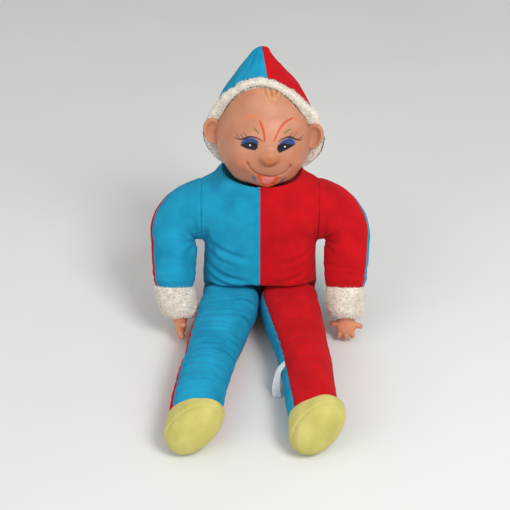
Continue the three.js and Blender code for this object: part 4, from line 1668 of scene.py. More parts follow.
@dataclass
class Shoe:
    """Soft felt shoe sewn to the ankle: an upper, a domed sole and a filling."""

    leg: Leg
    pitch: float = 16.0
    depth: float = 38.0
    root: float = 14.0
    half_length: float = 42.0
    half_width: float = 30.0
    toe_shift: float = 5.0
    sole_start: float = 0.66
    wall: float = 1.4
    columns: int = 144
    rows: int = 44
    filling: tuple = (2.8, 28, 12)  # its depth under the felt, its columns and its rows
    profile: tuple = (
        (0.0, 0.0, 0.77, 1.1), (0.2, 0.2, 0.9, 1.1), (0.48, 0.48, 1.0, 1.05), (0.74, 0.74, 0.96, 0.98),
        (0.92, 0.92, 0.78, 0.78), (1.05, 1.0, 0.5, 0.5), (1.2, 1.035, 0.24, 0.24), (1.34, 1.045, 0.0, 0.0),
    )

    @property
    def end(self) -> float:
        """Place of the sole's middle along the profile."""
        return self.profile[-1][0]

    def frame(self) -> dict[str, Array]:
        """Directions of the foot at the ankle.

        Returns:
            Its start and its directions by name, in the leg's frame.
        """
        ahead, across = self.leg.ahead(1.0), self.leg.across(1.0)
        roll = radians(self.leg.bends[self.leg.side]["roll"])
        pitch = radians(self.pitch)
        upright = Z * math.cos(roll) + across * math.sin(roll)
        return {
            "start": self.leg.middle(1.0),
            "ahead": ahead,
            "width": unit(np.cross(ahead, upright)),
            "toe": upright * math.cos(pitch) - ahead * math.sin(pitch),
            "facing": ahead * math.cos(pitch) + upright * math.sin(pitch),
        }

    def surface(self, at: Array, angle: Array, inset: float) -> Array:
        """Points of the shoe.

        Args:
            at: Place along the profile.
            angle: Outline angle, of the same shape.
            inset: Depth under the felt's outside.

        Returns:
            Points in the leg's frame.
        """
        axes = self.frame()
        support = math.hypot(self.half_length * axes["toe"][2], self.half_width * axes["width"][2])
        part, long, wide = smooth_rows(self.profile, at)
        c, s = superellipse(angle, 2.1)
        reach = -self.root + part * (self.depth + self.root - inset)
        rise = (support - self.leg.ankle_radius) * np.minimum(1, 2.5 * part)
        shrink = np.clip((self.end - at) / 0.3, 0, 1) * inset
        middle = axes["start"] + reach[..., None] * axes["ahead"] + rise[..., None] * Z
        middle = middle + (self.toe_shift * part)[..., None] * axes["toe"]
        along = (self.half_length * long - shrink) * c
        aside = (self.half_width * wide - shrink) * s
        return middle + along[..., None] * axes["toe"] + aside[..., None] * axes["width"]

    def crossings(self, normal: Array, level: float, angle: Array, inset: float) -> Array:
        """Where each column of the shoe first passes a plane.

        Args:
            normal: Direction of the plane.
            level: Its distance from the ankle.
            angle: Outline angle of each column.
            inset: Depth under the felt's outside.

        Returns:
            Places along the profile.
        """
        at = np.linspace(0, self.end, 400)
        grid = self.surface(*np.meshgrid(at, angle, indexing="ij"), inset)
        height = (grid - self.frame()["start"]) @ normal - level
        return at[np.argmax(height > 0, axis=0)]

    def form(self, inset: float, columns: int, rows: int) -> tuple[Array, Array]:
        """Upper and sole surfaces.

        Args:
            inset: Depth under the felt's outside.
            columns: Columns round the shoe.
            rows: Rows of each surface.

        Returns:
            The upper from the ankle to the sole seam, and the sole from that seam to its middle.
        """
        axes = self.frame()
        angle = full_turn(columns)
        opening = self.crossings(axes["ahead"], 1.2 + inset, angle, inset)
        welt_level = float(self.sole_start * self.depth * (axes["ahead"] @ axes["facing"]))
        welt = self.crossings(axes["facing"], welt_level, angle, inset)
        spread = np.linspace(0, 1, rows)[:, None]
        turn = np.broadcast_to(angle, (rows, columns + 1))
        upper = self.surface(opening + spread * (welt - opening), turn, inset)
        sole = self.surface(welt + spread**0.9 * (self.end - welt), turn, inset)
        sole[-1] = sole[-1].mean(0)
        edge = upper[0] - axes["start"]
        flat = edge - (edge @ axes["ahead"])[:, None] * axes["ahead"]
        ring = axes["start"] + unit(flat) * (self.leg.ankle_radius - 1.6 - inset) + 0.5 * axes["ahead"]
        part = np.linspace(0, 1, 12, endpoint=False)[:, None]
        lip = ring + part[..., None] * (upper[0] - ring)
        if inset == 0:
            roll = 3.0 * np.sin(pi * part) * np.clip(np.linalg.norm(upper[0] - ring, axis=-1) / 8, 0, 1)
            lip = lip - roll[..., None] * axes["ahead"]
        upper = np.concatenate([lip, upper])
        for grid in (upper, sole):
            grid[..., 2] = np.maximum(grid[..., 2], self.leg.floor + inset)
        return upper, sole

    def build(self) -> None:
        """Makes the upper, the sole and the filling."""
        word, place = self.leg.side.word, self.leg.place
        upper, sole = self.form(0.0, self.columns, self.rows)
        whole = np.concatenate([upper, sole[1:]])
        whole[6:-1] = relaxed(whole, 4, True)[6:-1]
        _, down = runs_of(whole)
        seam = len(upper) - 1
        way = np.abs(down - down[seam])
        turn = full_turn(self.columns)[None, :] * 60.0
        move = seam_pull(way, np.broadcast_to(turn, way.shape), 51, 0.9)
        move += 0.8 * wander(whole, 30, 52 + self.leg.side.value) + 0.35 * wander(whole, 12, 55)
        whole = pushed(whole, move * ease(0, 5, down))
        whole[..., 2] = np.maximum(whole[..., 2], self.leg.floor)
        outward = normals_of(whole, True)
        for piece, rows in (("upper", slice(0, seam + 1)), ("sole", slice(seam, None))):
            node = f"{word}_shoe_{piece}"
            data = shell_data(whole[rows], self.wall, True, outward[rows])
            dress(new_piece(node + "_felt", data, place), FELT, f"{word}_leg", [node])
        upper, sole = self.form(*self.filling)
        filling = np.concatenate([upper, sole[1:]])
        top = cap(filling[0].mean(0), filling[0], np.linspace(0, 1, 5, endpoint=False))
        stuff(f"{word}_shoe", np.concatenate([top, filling]), place, f"{word}_leg")


@dataclass
class Label:
    """Blank ribbon label caught in the inner seam of the left leg, twisting down to the floor."""

    leg: Leg
    width: float = 11.0
    thickness: float = 0.4
    reach: float = 12.0
    aside: float = 11.0
    along: float = 0.6
    hang: tuple = ((0, 0, 0, 0), (0.33, 0.72, 0.2, -0.25), (0.67, 1.02, 0.6, -0.7), (1, 0.9, 1.0, -1.0))

    def build(self) -> None:
        """Makes the ribbon."""
        leg = self.leg
        run = unit(leg.middle(self.along + 0.01) - leg.middle(self.along - 0.01))
        inner = unit(np.cross(run, leg.seam))
        inner = inner if inner[0] < 0 else -inner
        start = leg.middle(self.along) + inner * (leg.knee_radius - 0.6)
        drop = start[2] + leg.hip_height - 1.0
        at = np.linspace(0, 1, 60)
        aside, ahead, fall = smooth_rows(self.hang, at)
        line = start + np.stack([-aside * self.aside, -ahead * self.reach, fall * drop], -1)
        tangent = unit(np.gradient(line, axis=0))
        aim = np.stack([at, at - 1, 0 * at], -1)
        through = unit(np.cross(tangent, aim))
        across = unit(np.cross(through, tangent))
        share = np.linspace(-0.5, 0.5, 13)
        grid = line[:, None] + self.width * share[None, :, None] * across[:, None]
        bow = 0.8 * (1 - (2 * share) ** 2)[None, :] * np.sin(pi * at)[:, None]
        grid = grid + bow[..., None] * through[:, None]
        grid[..., 2] = np.maximum(grid[..., 2], -leg.hip_height + 0.7)
        data = shell_data(grid, self.thickness, False, normals_of(grid, False))
        piece = new_piece("sewn_ribbon_label", data, leg.place)
        dress(piece, RIBBON, "left_leg", ["sewn_label"])


@dataclass
class Cuff:
    """Plush cuff: a pile sleeve that closes to a lip round the wrist, its end drawn aside."""

    arm: Arm
    lean: float = 9.0
    tuft: tuple = (2.6, 0.55)

    def profile(self) -> Array:
        """The line round the cuff's wall, outside first.

        Returns:
            Radius and height of each point of the closed line.
        """
        arm = self.arm
        bore, hole, end = arm.cuff_radius - arm.cuff_wall, arm.wrist_neck + arm.gap, -arm.cuff_length
        knots = [
            (bore, 0), (arm.wrist_radius - 1.4, -0.2), (arm.cuff_radius - 0.3, 0.1 * end),
            (arm.cuff_radius - 0.2, 0.35 * end), (arm.cuff_radius - 0.6, 0.6 * end),
            (arm.cuff_radius - 2.6, 0.82 * end), (arm.cuff_radius - 6.4, 0.96 * end),
            (hole + 4.0, end), (hole + 0.6, end + 0.8), (hole + 0.2, end + arm.cuff_lip),
            (bore, end + arm.cuff_lip + 0.4), (bore, 0.5 * end), (bore, 0),
        ]
        at = np.linspace(0, len(knots) - 1, 96)
        radius, height = smooth_rows([[i, *knot] for i, knot in enumerate(knots)], at)
        return np.stack([radius, height], -1)

    def build(self) -> None:
        """Makes the cuff's backing and its pile."""
        arm, word = self.arm, self.arm.side.word
        line, turn = self.profile(), full_turn(96)
        radius = line[:, 0, None]
        height = np.broadcast_to(line[:, 1, None], (len(line), len(turn)))
        lean = -arm.side.value * (self.lean if arm.side is Side.RIGHT else 0.0)
        drawn = lean * np.clip(-height / (arm.cuff_length - arm.cuff_lip), 0, 1)
        grid = np.stack([radius * np.cos(turn) + drawn, radius * np.sin(turn), height], -1)
        grid = grid + np.array([arm.side.value * arm.out, 0, -arm.sleeve - arm.gap])
        outside = slice(1, 62)
        outward = normals_of(grid[outside], True)
        lumps = 0.8 * wander(grid[outside], 16, 61 + arm.side.value) + 0.45 * wander(grid[outside], 6, 64)
        fade = np.sin(pi * np.linspace(0, 1, outward.shape[0]))[:, None] ** 0.5
        grid[outside] += (fade * lumps)[..., None] * outward
        grid[-1] = grid[0]
        piece = new_piece(f"{word}_cuff_plush", solid_data(grid), arm.place)
        dress(piece, PLUSH, f"{word}_arm", [f"{word}_cuff"])
        skin = grid[2:60]
        outward = normals_of(skin, True)
        PileTufts().cover(
            f"{word}_cuff_pile", f"{word}_arm", arm.place, skin[:, :-1], outward[:, :-1], True,
            self.tuft, 70 + arm.side.value,
        )


@dataclass
class Hand:
    """Moulded hand with five short fingers on a necked wrist."""

    arm: Arm
    turns: dict = field(default_factory=lambda: {Side.RIGHT: -78.0, Side.LEFT: -8.0})
    palm: tuple = (15.0, 8.0, 14.0)
    finger: float = 4.3
    curl: float = 1.5
    melt: float = 0.75  # grain at which its parts melt into one skin
    fingers: tuple = (
        ((-7, -9), (-20, -10)), ((-7, -18), (-10, -27)), ((0, -20), (0, -29)), ((7, -18), (9, -27)),
        ((8, -9), (20, -13)),
    )

    @staticmethod
    def tube(points: Array, wide: Array, deep: Array, level: Array) -> MeshData:
        """A closed rounded form along a line.

        Args:
            points: Middles of its rings.
            wide: Half width of each ring along the level direction.
            deep: Half depth of each ring.
            level: Direction across the form.

        Returns:
            The mesh.
        """
        run = unit(np.gradient(points, axis=0))
        across = unit(level - run * (run @ level)[:, None])
        through = np.cross(run, across)
        turn = full_turn(32)
        rings = wide[:, None, None] * np.cos(turn)[None, :, None] * across[:, None]
        rings = rings + deep[:, None, None] * np.sin(turn)[None, :, None] * through[:, None]
        return solid_data(points[:, None] + rings)

    def build(self) -> None:
        """Moulds the hand as one skin."""
        arm, word, sign = self.arm, self.arm.side.word, self.arm.side.value
        top = arm.cuff_lip + arm.gap
        neck = arm.wrist_neck - 0.4
        seat = neck + 3.2
        heights = np.array([top + 5, top + 4.9, top, top - 0.2, 0.2, -4, -9, -14, -14.1])
        wide = np.array([0, seat, seat, neck, neck, 12.0, 13.4, 13.0, 0])
        deep = np.array([0, seat, seat, neck, neck, 9.8, 8.4, 7.6, 0])
        parts = [self.tube(heights[:, None] * Z, wide, deep, X)]
        ball = np.linspace(-pi / 2, pi / 2, 25)
        broad, thick, long = self.palm
        down = (-0.86 * long + long * np.sin(ball))[:, None] * Z
        parts.append(self.tube(down, broad * np.cos(ball), thick * np.cos(ball), X))
        for root, tip in self.fingers:
            ends = np.array([[sign * root[0], 0, root[1]], [sign * tip[0], self.curl, tip[1]]], float)
            reach = unit(ends[1] - ends[0])
            share = np.linspace(0, 1, 16)
            line = ends[0] + share[:, None] * (ends[1] - ends[0])
            line[:, 1] -= 1.2 * np.sin(pi * share)
            swell = self.finger * (1.06 - 0.16 * share + 0.05 * np.cos(share * 9))
            dome = np.linspace(0, pi / 2, 9)[1:]
            end = line[-1] + self.finger * 0.9 * np.sin(dome)[:, None] * reach
            line = np.concatenate([line, end])
            swell = np.concatenate([swell, swell[-1] * np.cos(dome)])
            swell[0] = 0
            parts.append(self.tube(line, swell, 0.92 * swell, unit(np.cross(reach, Y))))
        turn = turned("x", -arm.swing) @ turned("z", self.turns[arm.side])
        place = Place(turn, joint_place(f"{word}_wrist"))
        rough = new_piece(f"{word}_hand_rough", joined(parts), place)
        melt = rough.modifiers.new("melt", "REMESH")
        melt.mode = "VOXEL"
        melt.voxel_size = self.melt * MM
        soften = rough.modifiers.new("soften", "SMOOTH")
        soften.factor = 0.5
        soften.iterations = 7
        piece = baked(rough, f"{word}_moulded_hand")
        piece.data.shade_smooth()
        dress(piece, HAND_VINYL, f"{word}_hand", [f"{word}_hand"])


@dataclass
class FacePaint:
    """Sprayed and brushed paint on the mask, laid coat over coat. Places are degrees on the face."""

    across: Array
    up: Array
    coat: Array = field(init=False)

    def __post_init__(self) -> None:
        """Starts with bare vinyl."""
        self.coat = np.zeros((*self.across.shape, 4))

    @staticmethod
    def flat(points: Sequence[Sequence[float]]) -> list[tuple[float, float]]:
        """Longitudes and latitudes as places on a flat map."""
        return [(lon * math.cos(radians(lat)), lat) for lon, lat in points]

    def lay(self, cover: Array, colour: str) -> None:
        """Lays a colour over what is there.

        Args:
            cover: How far it covers, from 0 to 1.
            colour: Its sRGB hex value.
        """
        under = self.coat[..., 3] * (1 - cover)
        total = np.maximum(under + cover, 1e-6)
        tint = np.array(linear(colour)[:3])
        mixed = self.coat[..., :3] * under[..., None] + tint * cover[..., None]
        self.coat[..., :3] = mixed / total[..., None]
        self.coat[..., 3] = under + cover

    def line(self, points: Sequence, colour: str, wide: float, thin: float = 0.2, cover: float = 1.0) -> None:
        """A brush line.

        Args:
            points: Longitudes and latitudes along it.
            colour: Its colour.
            wide: Half width at its middle, in degrees.
            thin: Share of that width at its ends.
            cover: How far it covers.
        """
        way, share = stroke_way(self.across, self.up, self.flat(points))
        half = wide * (thin + (1 - thin) * np.sin(pi * np.clip(share, 0, 1)) ** 0.8)
        self.lay(cover * (1 - ease(-0.35, 0.35, way - half)), colour)

    def patch(self, points: Sequence, colour: str, soft: float, cover: float = 1.0) -> None:
        """A filled shape.

        Args:
            points: Longitudes and latitudes round its edge.
            colour: Its colour.
            soft: Half width of its edge, in degrees.
            cover: How far it covers.
        """
        ring = self.flat(points)
        way, _ = stroke_way(self.across, self.up, [*ring, ring[0]])
        inside = np.zeros(self.across.shape, bool)
        for (x0, y0), (x1, y1) in zip(ring, ring[1:] + ring[:1]):
            if y0 == y1:
                continue
            between = (self.up > y0) != (self.up > y1)
            inside ^= between & (self.across < x0 + (self.up - y0) * (x1 - x0) / (y1 - y0))
        self.lay(cover * (1 - ease(-soft, soft, np.where(inside, -way, way))), colour)

    def spray(self, place: tuple, spread: tuple, colour: str, cover: float) -> None:
        """A soft airbrushed spot, by the place of its middle and its half width and height."""
        (lon, lat), (wide, high) = self.flat([place])[0], spread
        self.lay(cover * np.exp(-(((self.across - lon) / wide) ** 2 + ((self.up - lat) / high) ** 2)), colour)


def polar(angle: Array, turn: Array, pole: Array, first: Array, second: Array) -> Array:
    """Directions at an angle from a pole and a turn about it, from the first direction to the second."""
    level = np.cos(turn)[..., None] * first + np.sin(turn)[..., None] * second
    return np.cos(angle)[..., None] * pole + np.sin(angle)[..., None] * level


@dataclass
class Head:
    """Moulded mask in a pointed hood of two cloths, edged with plush and stuffed."""

    lean: float = 12.0
    turn: float = 4.0
    tilt: float = 2.0
    stuffing: float = 63.5
    vinyl: float = 2.0
    face_radius: float = 66.5
    hood: float = 70.5
    tip: float = 135.0
    bulge: float = 5.0
    tip_back: float = 5.0
    tip_aside: float = 4.0
    flare: float = 7.0
    seam_front: tuple = (9.0, 71.0)
    tip_softness: float = 0.07
    opening_tilt: float = 19.0
    trim_width: float = 5.7
    trim_height: float = 4.8
    trim_flare: float = 4.0
    trim_end: float = 161.0
    trim_taper: float = 4.0
    hem_span: tuple = (88, 146)  # angles from the band's top between which its stitches show, dark as painted shade of the edge
    stitch: float = 1.25
    thread: float = 0.4
    trim_tuft: tuple = (2.3, 0.5)
    neck_opening: float = 31.0
    face_turn: float = 9.0
    ear: tuple = (13.0, 4.5, 18.0)
    ear_place: tuple = (69.1, -15.0, 7.0)
    ear_flare: float = 14.0
    ear_tilt: float = 10.0
    smile: tuple = (
        (-23, -19), (-20, -24.5), (-13.4, -31.1), (-1.5, -35.2), (11.5, -36.3), (22.1, -31.3), (28, -23.5),
    )
    lip: tuple = ((-13.4, -32.5), (-9.8, -42.4), (-3, -50), (6, -52.5), (15, -48), (20.4, -37.0))
    lock: tuple = (
        (((13.5, 79), (15, 67), (13, 58), (8.5, 50.5)), 2.3, 3.6),
        (((1, 76), (-2, 66), (3, 58), (8, 54)), 1.8, 2.4),
        (((-10, 72), (-12, 64), (-6, 58), (-2, 57)), 1.5, 1.3),
        (((32, 74), (28, 65), (19, 57), (12, 53)), 2.0, 2.4),
        (((8, 77), (7, 66), (7.5, 58)), 0.9, -1.2),
        (((23, 77), (21, 66), (15, 58)), 0.9, -1.2),
    )

    @property
    def place(self) -> Place:
        """The head turns about the middle of its ball."""
        turn = turned("x", -self.lean) @ turned("y", self.tilt) @ turned("z", -self.turn)
        return Place(turn, joint_place("head_turn"))

    @property
    def axis(self) -> Array:
        """Direction in which the hood opens."""
        tilt = radians(self.opening_tilt)
        return np.array([0, -math.cos(tilt), -math.sin(tilt)])

    @property
    def plane_up(self) -> Array:
        """Direction up the opening."""
        return np.array([0, self.axis[2], -self.axis[1]])

    @property
    def tip_way(self) -> Array:
        """Direction of the hood's tip."""
        back, aside = radians(self.tip_back), radians(self.tip_aside)
        return unit(np.array([-math.sin(aside), math.sin(back), math.cos(back)]))

    def cone_reach(self, way: Array, inset: float) -> Array:
        """Reach of a ball drawn out to the hood's tip.

        Args:
            way: Directions from the middle of the head.
            inset: Depth under the hood's outside.

        Returns:
            Distances from the middle of the head.
        """
        radius = self.hood - inset
        spread = math.acos(radius / (self.tip - 2 * inset))
        away = np.hypot(np.arccos(np.clip(way @ self.tip_way, -1, 1)), self.tip_softness)
        bulge = self.bulge * np.sin(pi * np.minimum(1, away / spread))
        return radius / np.cos(np.maximum(0, spread - away)) + bulge

    def hood_reach(self, way: Array, inset: float) -> Array:
        """Distance of the hood's surface, which stands off at the sides, drawn in by an inset."""
        return self.cone_reach(way, inset) + self.flare * way[..., 0] ** 2

    def core_reach(self, way: Array, clear: float) -> Array:
        """Distance of the stuffed ball's surface, with a clearance over it."""
        return self.cone_reach(way, self.hood - self.stuffing) + clear

    @staticmethod
    def aimed(lon: float, lat: float) -> Array:
        """Direction at a longitude and latitude of the head, in degrees."""
        east, north = radians(lon), radians(lat)
        return np.array(
            [math.cos(north) * math.sin(east), -math.cos(north) * math.cos(east), math.sin(north)]
        )

    def face_angles(self, way: Array) -> tuple[Array, Array]:
        """Places on a flat map of the face.

        Args:
            way: Directions from the middle of the head.

        Returns:
            Ways across and up the map, in degrees.
        """
        lat = np.degrees(np.arcsin(np.clip(way[..., 2], -1, 1)))
        lon = np.degrees(np.arctan2(way[..., 0], -way[..., 1])) - self.face_turn
        return lon * np.cos(np.radians(lat)), lat

    def face_reach(self, way: Array) -> Array:
        """The mask's surface, with its moulded features.

        Args:
            way: Directions from the middle of the head.

        Returns:
            Distances from the middle of the head.
        """
        across, up = self.face_angles(way)
        reach = soft_max(np.full(across.shape, self.face_radius), self.core_reach(way, 2.7), 1.5) - 0.4

        def bump(lon: float, lat: float, wide: float, high: float, rise: float, power: float = 2.4) -> Array:
            """A rounded swelling, or a hollow where the rise is negative."""
            x = lon * math.cos(radians(lat))
            return rise * np.exp(-(np.hypot((across - x) / wide, (up - lat) / high) ** power))

        def ridge(points: Sequence, wide: float, rise: float) -> Array:
            """A moulded line that fades at its ends."""
            gap, share = stroke_way(across, up, FacePaint.flat(points))
            return rise * bell(gap, wide) * np.sin(pi * np.clip(share, 0.03, 0.97)) ** 0.6

        for swelling in (
            (-33, -14, 19, 17, 3.4), (33, -15, 19, 17, 3.4), (1, -27, 17, 12, 3.0), (1, -52, 15, 12, 6.0),
            (-22, 4, 11, 7, -1.6), (21, 3, 11, 7, -1.6), (0, 34, 27, 24, 1.5), (-21, 13, 13, 5, 0.8),
            (21, 13, 13, 5, 0.8), (-31, -19, 8, 8, 2.0), (37, -21, 8, 8, 2.0), (0, -42, 9, 6, 1.0),
            (-43, -44, 20, 20, 4.5), (44, -46, 19, 19, 4.5), (1.2, -8.6, 10.6, 8.6, 9.0, 3.4),
            (-6.5, -14, 3, 2.4, -0.7), (9, -14.6, 3, 2.4, -0.7),
        ):
            reach += bump(*swelling)
        for points, wide, rise in (
            (self.smile, 1.7, -1.9), (self.lip, 2.6, 1.5),
            (((-8, -37), (-4, -47), (4, -49.5), (11, -45), (13, -38)), 1.4, -0.9),
            (((-24.5, -13.5), (-23.3, -18), (-21.8, -22.5)), 1.9, -2.3),
            (((27.5, -17.5), (29, -22), (28.6, -27)), 1.9, -2.3), *self.lock,
        ):
            reach += ridge(points, wide, rise)
        return reach

    def skin(
        self, axes: tuple[Array, Array, Array], reach: Callable, past: Callable, columns: int, top: float,
        shares: Array,
    ) -> tuple[Array, Array, Array, Array]:
        """A surface round a pole, out to an edge.

        Args:
            axes: Its pole and two directions across it.
            reach: Distance of the surface in a direction.
            past: Whether points lie past the edge.
            columns: Columns round the pole.
            top: Largest angle from the pole in degrees.
            shares: Shares of the way to the edge at which its rows lie.

        Returns:
            Angles from the pole, turns about it, directions and points of the grid.
        """
        angle, turn = np.radians(np.linspace(0, top, 600)), full_turn(columns)
        ways = polar(*np.meshgrid(angle, turn, indexing="ij"), *axes)
        over = past(ways * reach(ways)[..., None])
        found = angle[np.where(over.any(0), np.argmax(over, axis=0), -1)][:-1]
        for _ in range(4):
            found = (np.roll(found, 1) + 2 * found + np.roll(found, -1)) / 4
        angle = shares[:, None] * np.append(found, found[0])
        turn = np.broadcast_to(turn, angle.shape)
        ways = polar(angle, turn, *axes)
        grid = ways * reach(ways)[..., None]
        grid[0] = grid[0].mean(0)
        return angle, turn, ways, grid

    def in_neck(self, points: Array) -> Array:
        """Whether points lie in the neck's opening."""
        return (points[..., 2] < 0) & (np.hypot(points[..., 0], points[..., 1]) < self.neck_opening)

    def ear_data(self, side: Side) -> MeshData:
        """One moulded ear: a soft rim round a shallow dish.

        Args:
            side: Which ear.

        Returns:
            Its mesh in the head's frame.
        """
        outline = [
            (0, 0.0, 0.15), (1, 0.32, 0.05), (2, 0.55, -0.3), (3, 0.74, -0.85), (4, 0.88, -1.0),
            (5, 0.98, -0.55), (6, 1.0, 0.1), (7, 0.92, 0.75), (8, 0.68, 1.0), (9, 0.34, 1.0), (10, 0.0, 1.0),
        ]
        out, deep = smooth_rows(outline, np.linspace(0, 10, 44))
        turn = full_turn(64)
        wide, thick, high = self.ear
        x = wide * out[:, None] * np.cos(turn) * (1 + 0.06 * np.sin(turn))
        z = high * out[:, None] * np.sin(turn)
        y = thick * deep[:, None] * (1 + 0.18 * np.sin(-turn))
        grid = np.stack([side.value * x, y, z], -1)
        spin = turned("y", side.value * self.ear_tilt) @ turned("z", -side.value * self.ear_flare)
        return solid_data(grid @ spin.T + np.array([side.value * self.ear_place[0], *self.ear_place[1:]]))

    def paint(self, way: Array) -> Array:
        """The face paint: cheeks and nose, brows, lids, eyes with a painted highlight, lashes, mouth and
        forelock, with painted shade in the eye hollows, under the nose, in the smile fold and dimples, and in
        the creases beside the chin.

        Args:
            way: Directions from the middle of the head.

        Returns:
            Colour and cover in each direction.
        """
        face = FacePaint(*self.face_angles(way))
        orange, ink, olive = "#c0441f", "#17162e", "#5f6b20"
        # Sprays: blush on the cheeks, the nose's paint, a lighter warm wash on the forehead, and painted
        # shade in the two eye hollows.
        for spot in (
            ((-31, -15), (15, 12), "#c67150", 0.5), ((31, -16), (15, 12), "#c67150", 0.5),
            ((1.2, -9.5), (10.5, 7.5), "#b26a40", 0.9), ((0, 24), (20, 9), "#d4886c", 0.35),
            ((-22, 1), (15, 8), "#b87b62", 0.35), ((21, 0), (15, 8), "#b87b62", 0.35),
        ):
            face.spray(*spot)
        for stroke in (
            (((-12.1, 32.5), (-22.1, 37), (-32.7, 34.5), (-38.4, 29.2)), "#cf7544", 1.9, 0.35, 0.6),
            (((35.8, 34.3), (44.2, 31.5), (47.5, 25.4)), "#cf7544", 1.9, 0.35, 0.75),
            (((-4.7, 9.4), (-6, 19.4), (-9.6, 28.4), (-12.5, 33.1)), orange, 1.45, 0.5, 0.95),
            (((6, 10), (13.5, 23.8), (24.6, 31.6), (36.8, 34.3)), orange, 1.5, 0.5, 0.95),
            (((-19.7, 24.9), (-15.1, 21.6), (-11.8, 17.2)), olive, 1.0, 0.35),
            (((17.3, 17.5), (23.3, 20.7), (29.9, 22.8)), olive, 1.0, 0.35),
        ):
            face.line(*stroke)
        lids = (
            [(-33, 6.4), (-26.5, 11.8), (-18.5, 13.1), (-12.3, 10.2), (-12.3, 5.6), (-22, 6.5), (-31.7, 4.2)],
            [(10.6, 5.6), (16.8, 10.8), (25.6, 12.9), (32.2, 8.6), (33.6, 4.0), (21.7, 5.6)],
        )
        eyes = (
            [(-34, 2.9), (-26, 6.8), (-18, 7.9), (-12.7, 6.1),
             (-12.2, 2.8), (-15.3, -1.0), (-23.2, -0.5), (-29.3, 1.0)],
            [(33.5, 4.1), (24.9, 5.6), (16.6, 7.1), (11.0, 5.2),
             (9.5, 1.1), (13.0, -3.4), (19.4, -1.8), (26.6, 1.1)],
        )
        for lid, eye, shine in zip(lids, eyes, ((-21.7, 4.2), (19.7, 2.9))):
            face.patch(lid, "#27467a", 1.0)
            face.patch(eye, "#07080d", 0.5)
            face.spray((shine[0] + 1.5, shine[1] - 3.0), (6.5, 1.3), "#22314f", 0.22)
            # A painted highlight: a white dot in each eye.
            face.line([shine, (shine[0] + 0.25, shine[1])], "#fbfbf8", 0.75, 1.0)
        lashes = (
            ([(-6.1, 9.4), (-13.5, 13.4), (-22.6, 13.9), (-30.4, 10.3), (-37.6, 9.2), (-43.2, 10.5)], 0.95),
            ([(10.4, 9), (15.9, 12.5), (24.6, 14), (31.4, 11.2), (38.9, 8.1), (46.7, 7.9)], 0.95),
            ([(-28.7, 11.6), (-32.5, 13.6), (-36.5, 16.2)], 0.52),
            ([(-24.2, 13.4), (-28, 15.6), (-32, 18.9)], 0.48),
            ([(-34.1, 10.3), (-38, 13), (-42, 17)], 0.48),
            ([(28.8, 12.3), (33.5, 14.8), (38.4, 18.3)], 0.52),
            ([(35.5, 9.8), (43, 10.2), (50.7, 12.5)], 0.52),
            ([(24, 14), (28.5, 16.2), (32.5, 19.6)], 0.46),
        )
        for points, wide in lashes:
            face.line(points, ink, wide, 0.25)
        # Painted shade: blue-grey lines in the creases between the mouth corners and the jowls.
        face.line([(-19.7, -34.3), (-16.2, -45.4)], "#63617f", 2.2, 0.3, 0.85)
        face.line([(30, -38.1), (24, -50)], "#63617f", 2.2, 0.3, 0.85)
        mouth = [(-13.4, -32.3), (-10.5, -41.5), (-4, -49.8), (6, -52.8)]
        face.patch([*mouth, (15.5, -48.6), (20.8, -36.6), (11.5, -37.4), (-1.5, -36.2)], "#ca4d28", 0.9)
        tongue = [
            (-7.6, -36.4), (-5.6, -43), (-0.5, -47.6), (5, -48.4), (10.5, -45), (12.2, -38.6), (5, -37.6),
        ]
        face.patch(tongue, "#d6776f", 0.8)
        # Painted shade: a darker copy of the nose's colour along its underside.
        face.line([(-8.5, -12), (-4.5, -16.6), (2, -18.4), (8, -16.8), (11, -12.5)], "#8f4c30", 1.2, 0.2, 0.7)
        # Painted shade: darker skin tones along the moulded smile fold and in the dimples at its ends.
        face.line(self.smile, "#8f4a3b", 0.75, 0.3, 0.85)
        face.line([(-24.5, -14), (-23.3, -18), (-22.2, -21.5)], "#9a5640", 1.0, 0.3, 0.65)
        face.line([(27.5, -18), (29, -22), (28.4, -26)], "#9a5640", 1.0, 0.3, 0.65)
        face.spray((10, 65), (9, 11), "#c98f5c", 0.6)
        for points in (
            ((8, 77), (7, 66), (7.5, 58)), ((23, 77), (21, 66), (15, 58)), ((-5, 74), (-7, 65), (-1, 58)),
            ((17, 78), (18.5, 67), (15, 57)), ((33, 70), (30, 63), (22, 56)),
        ):
            face.line(points, "#925a39", 0.8, 0.3, 0.75)
        return face.coat

    def build_mask(self) -> None:
        """Moulds and paints the mask with its ears."""

        def past(points: Array) -> Array:
            """Whether points lie behind the mask's edge."""
            return (points @ self.axis < self.trim_width + 0.15) | self.in_neck(points)

        axes = (self.axis, X, self.plane_up)
        _, _, ways, grid = self.skin(axes, self.face_reach, past, 300, 100, np.linspace(0, 1, 150))
        parts = [shell_data(grid, self.vinyl, True, normals_of(grid, True), self.paint(ways))]
        parts += [self.ear_data(side) for side in Side]
        dress(new_piece("moulded_face_mask", joined(parts), self.place), FACE_VINYL, "head", ["face_mask"])

    def build_hood(self) -> None:
        """Sews the two hood panels; turns about the tip start at the back seam and go round by the left."""
        half, rows = 90, 130
        seams = [0, half, 2 * half]
        front = self.aimed(*self.seam_front)
        front = unit(front - self.tip_way * (front @ self.tip_way))
        left = np.cross(self.tip_way, front)
        left = left if left[0] > 0 else -left

        def past(points: Array) -> Array:
            """Whether points lie in front of the hood's edge."""
            return (points @ self.axis > -self.trim_width + 1.5) | self.in_neck(points)

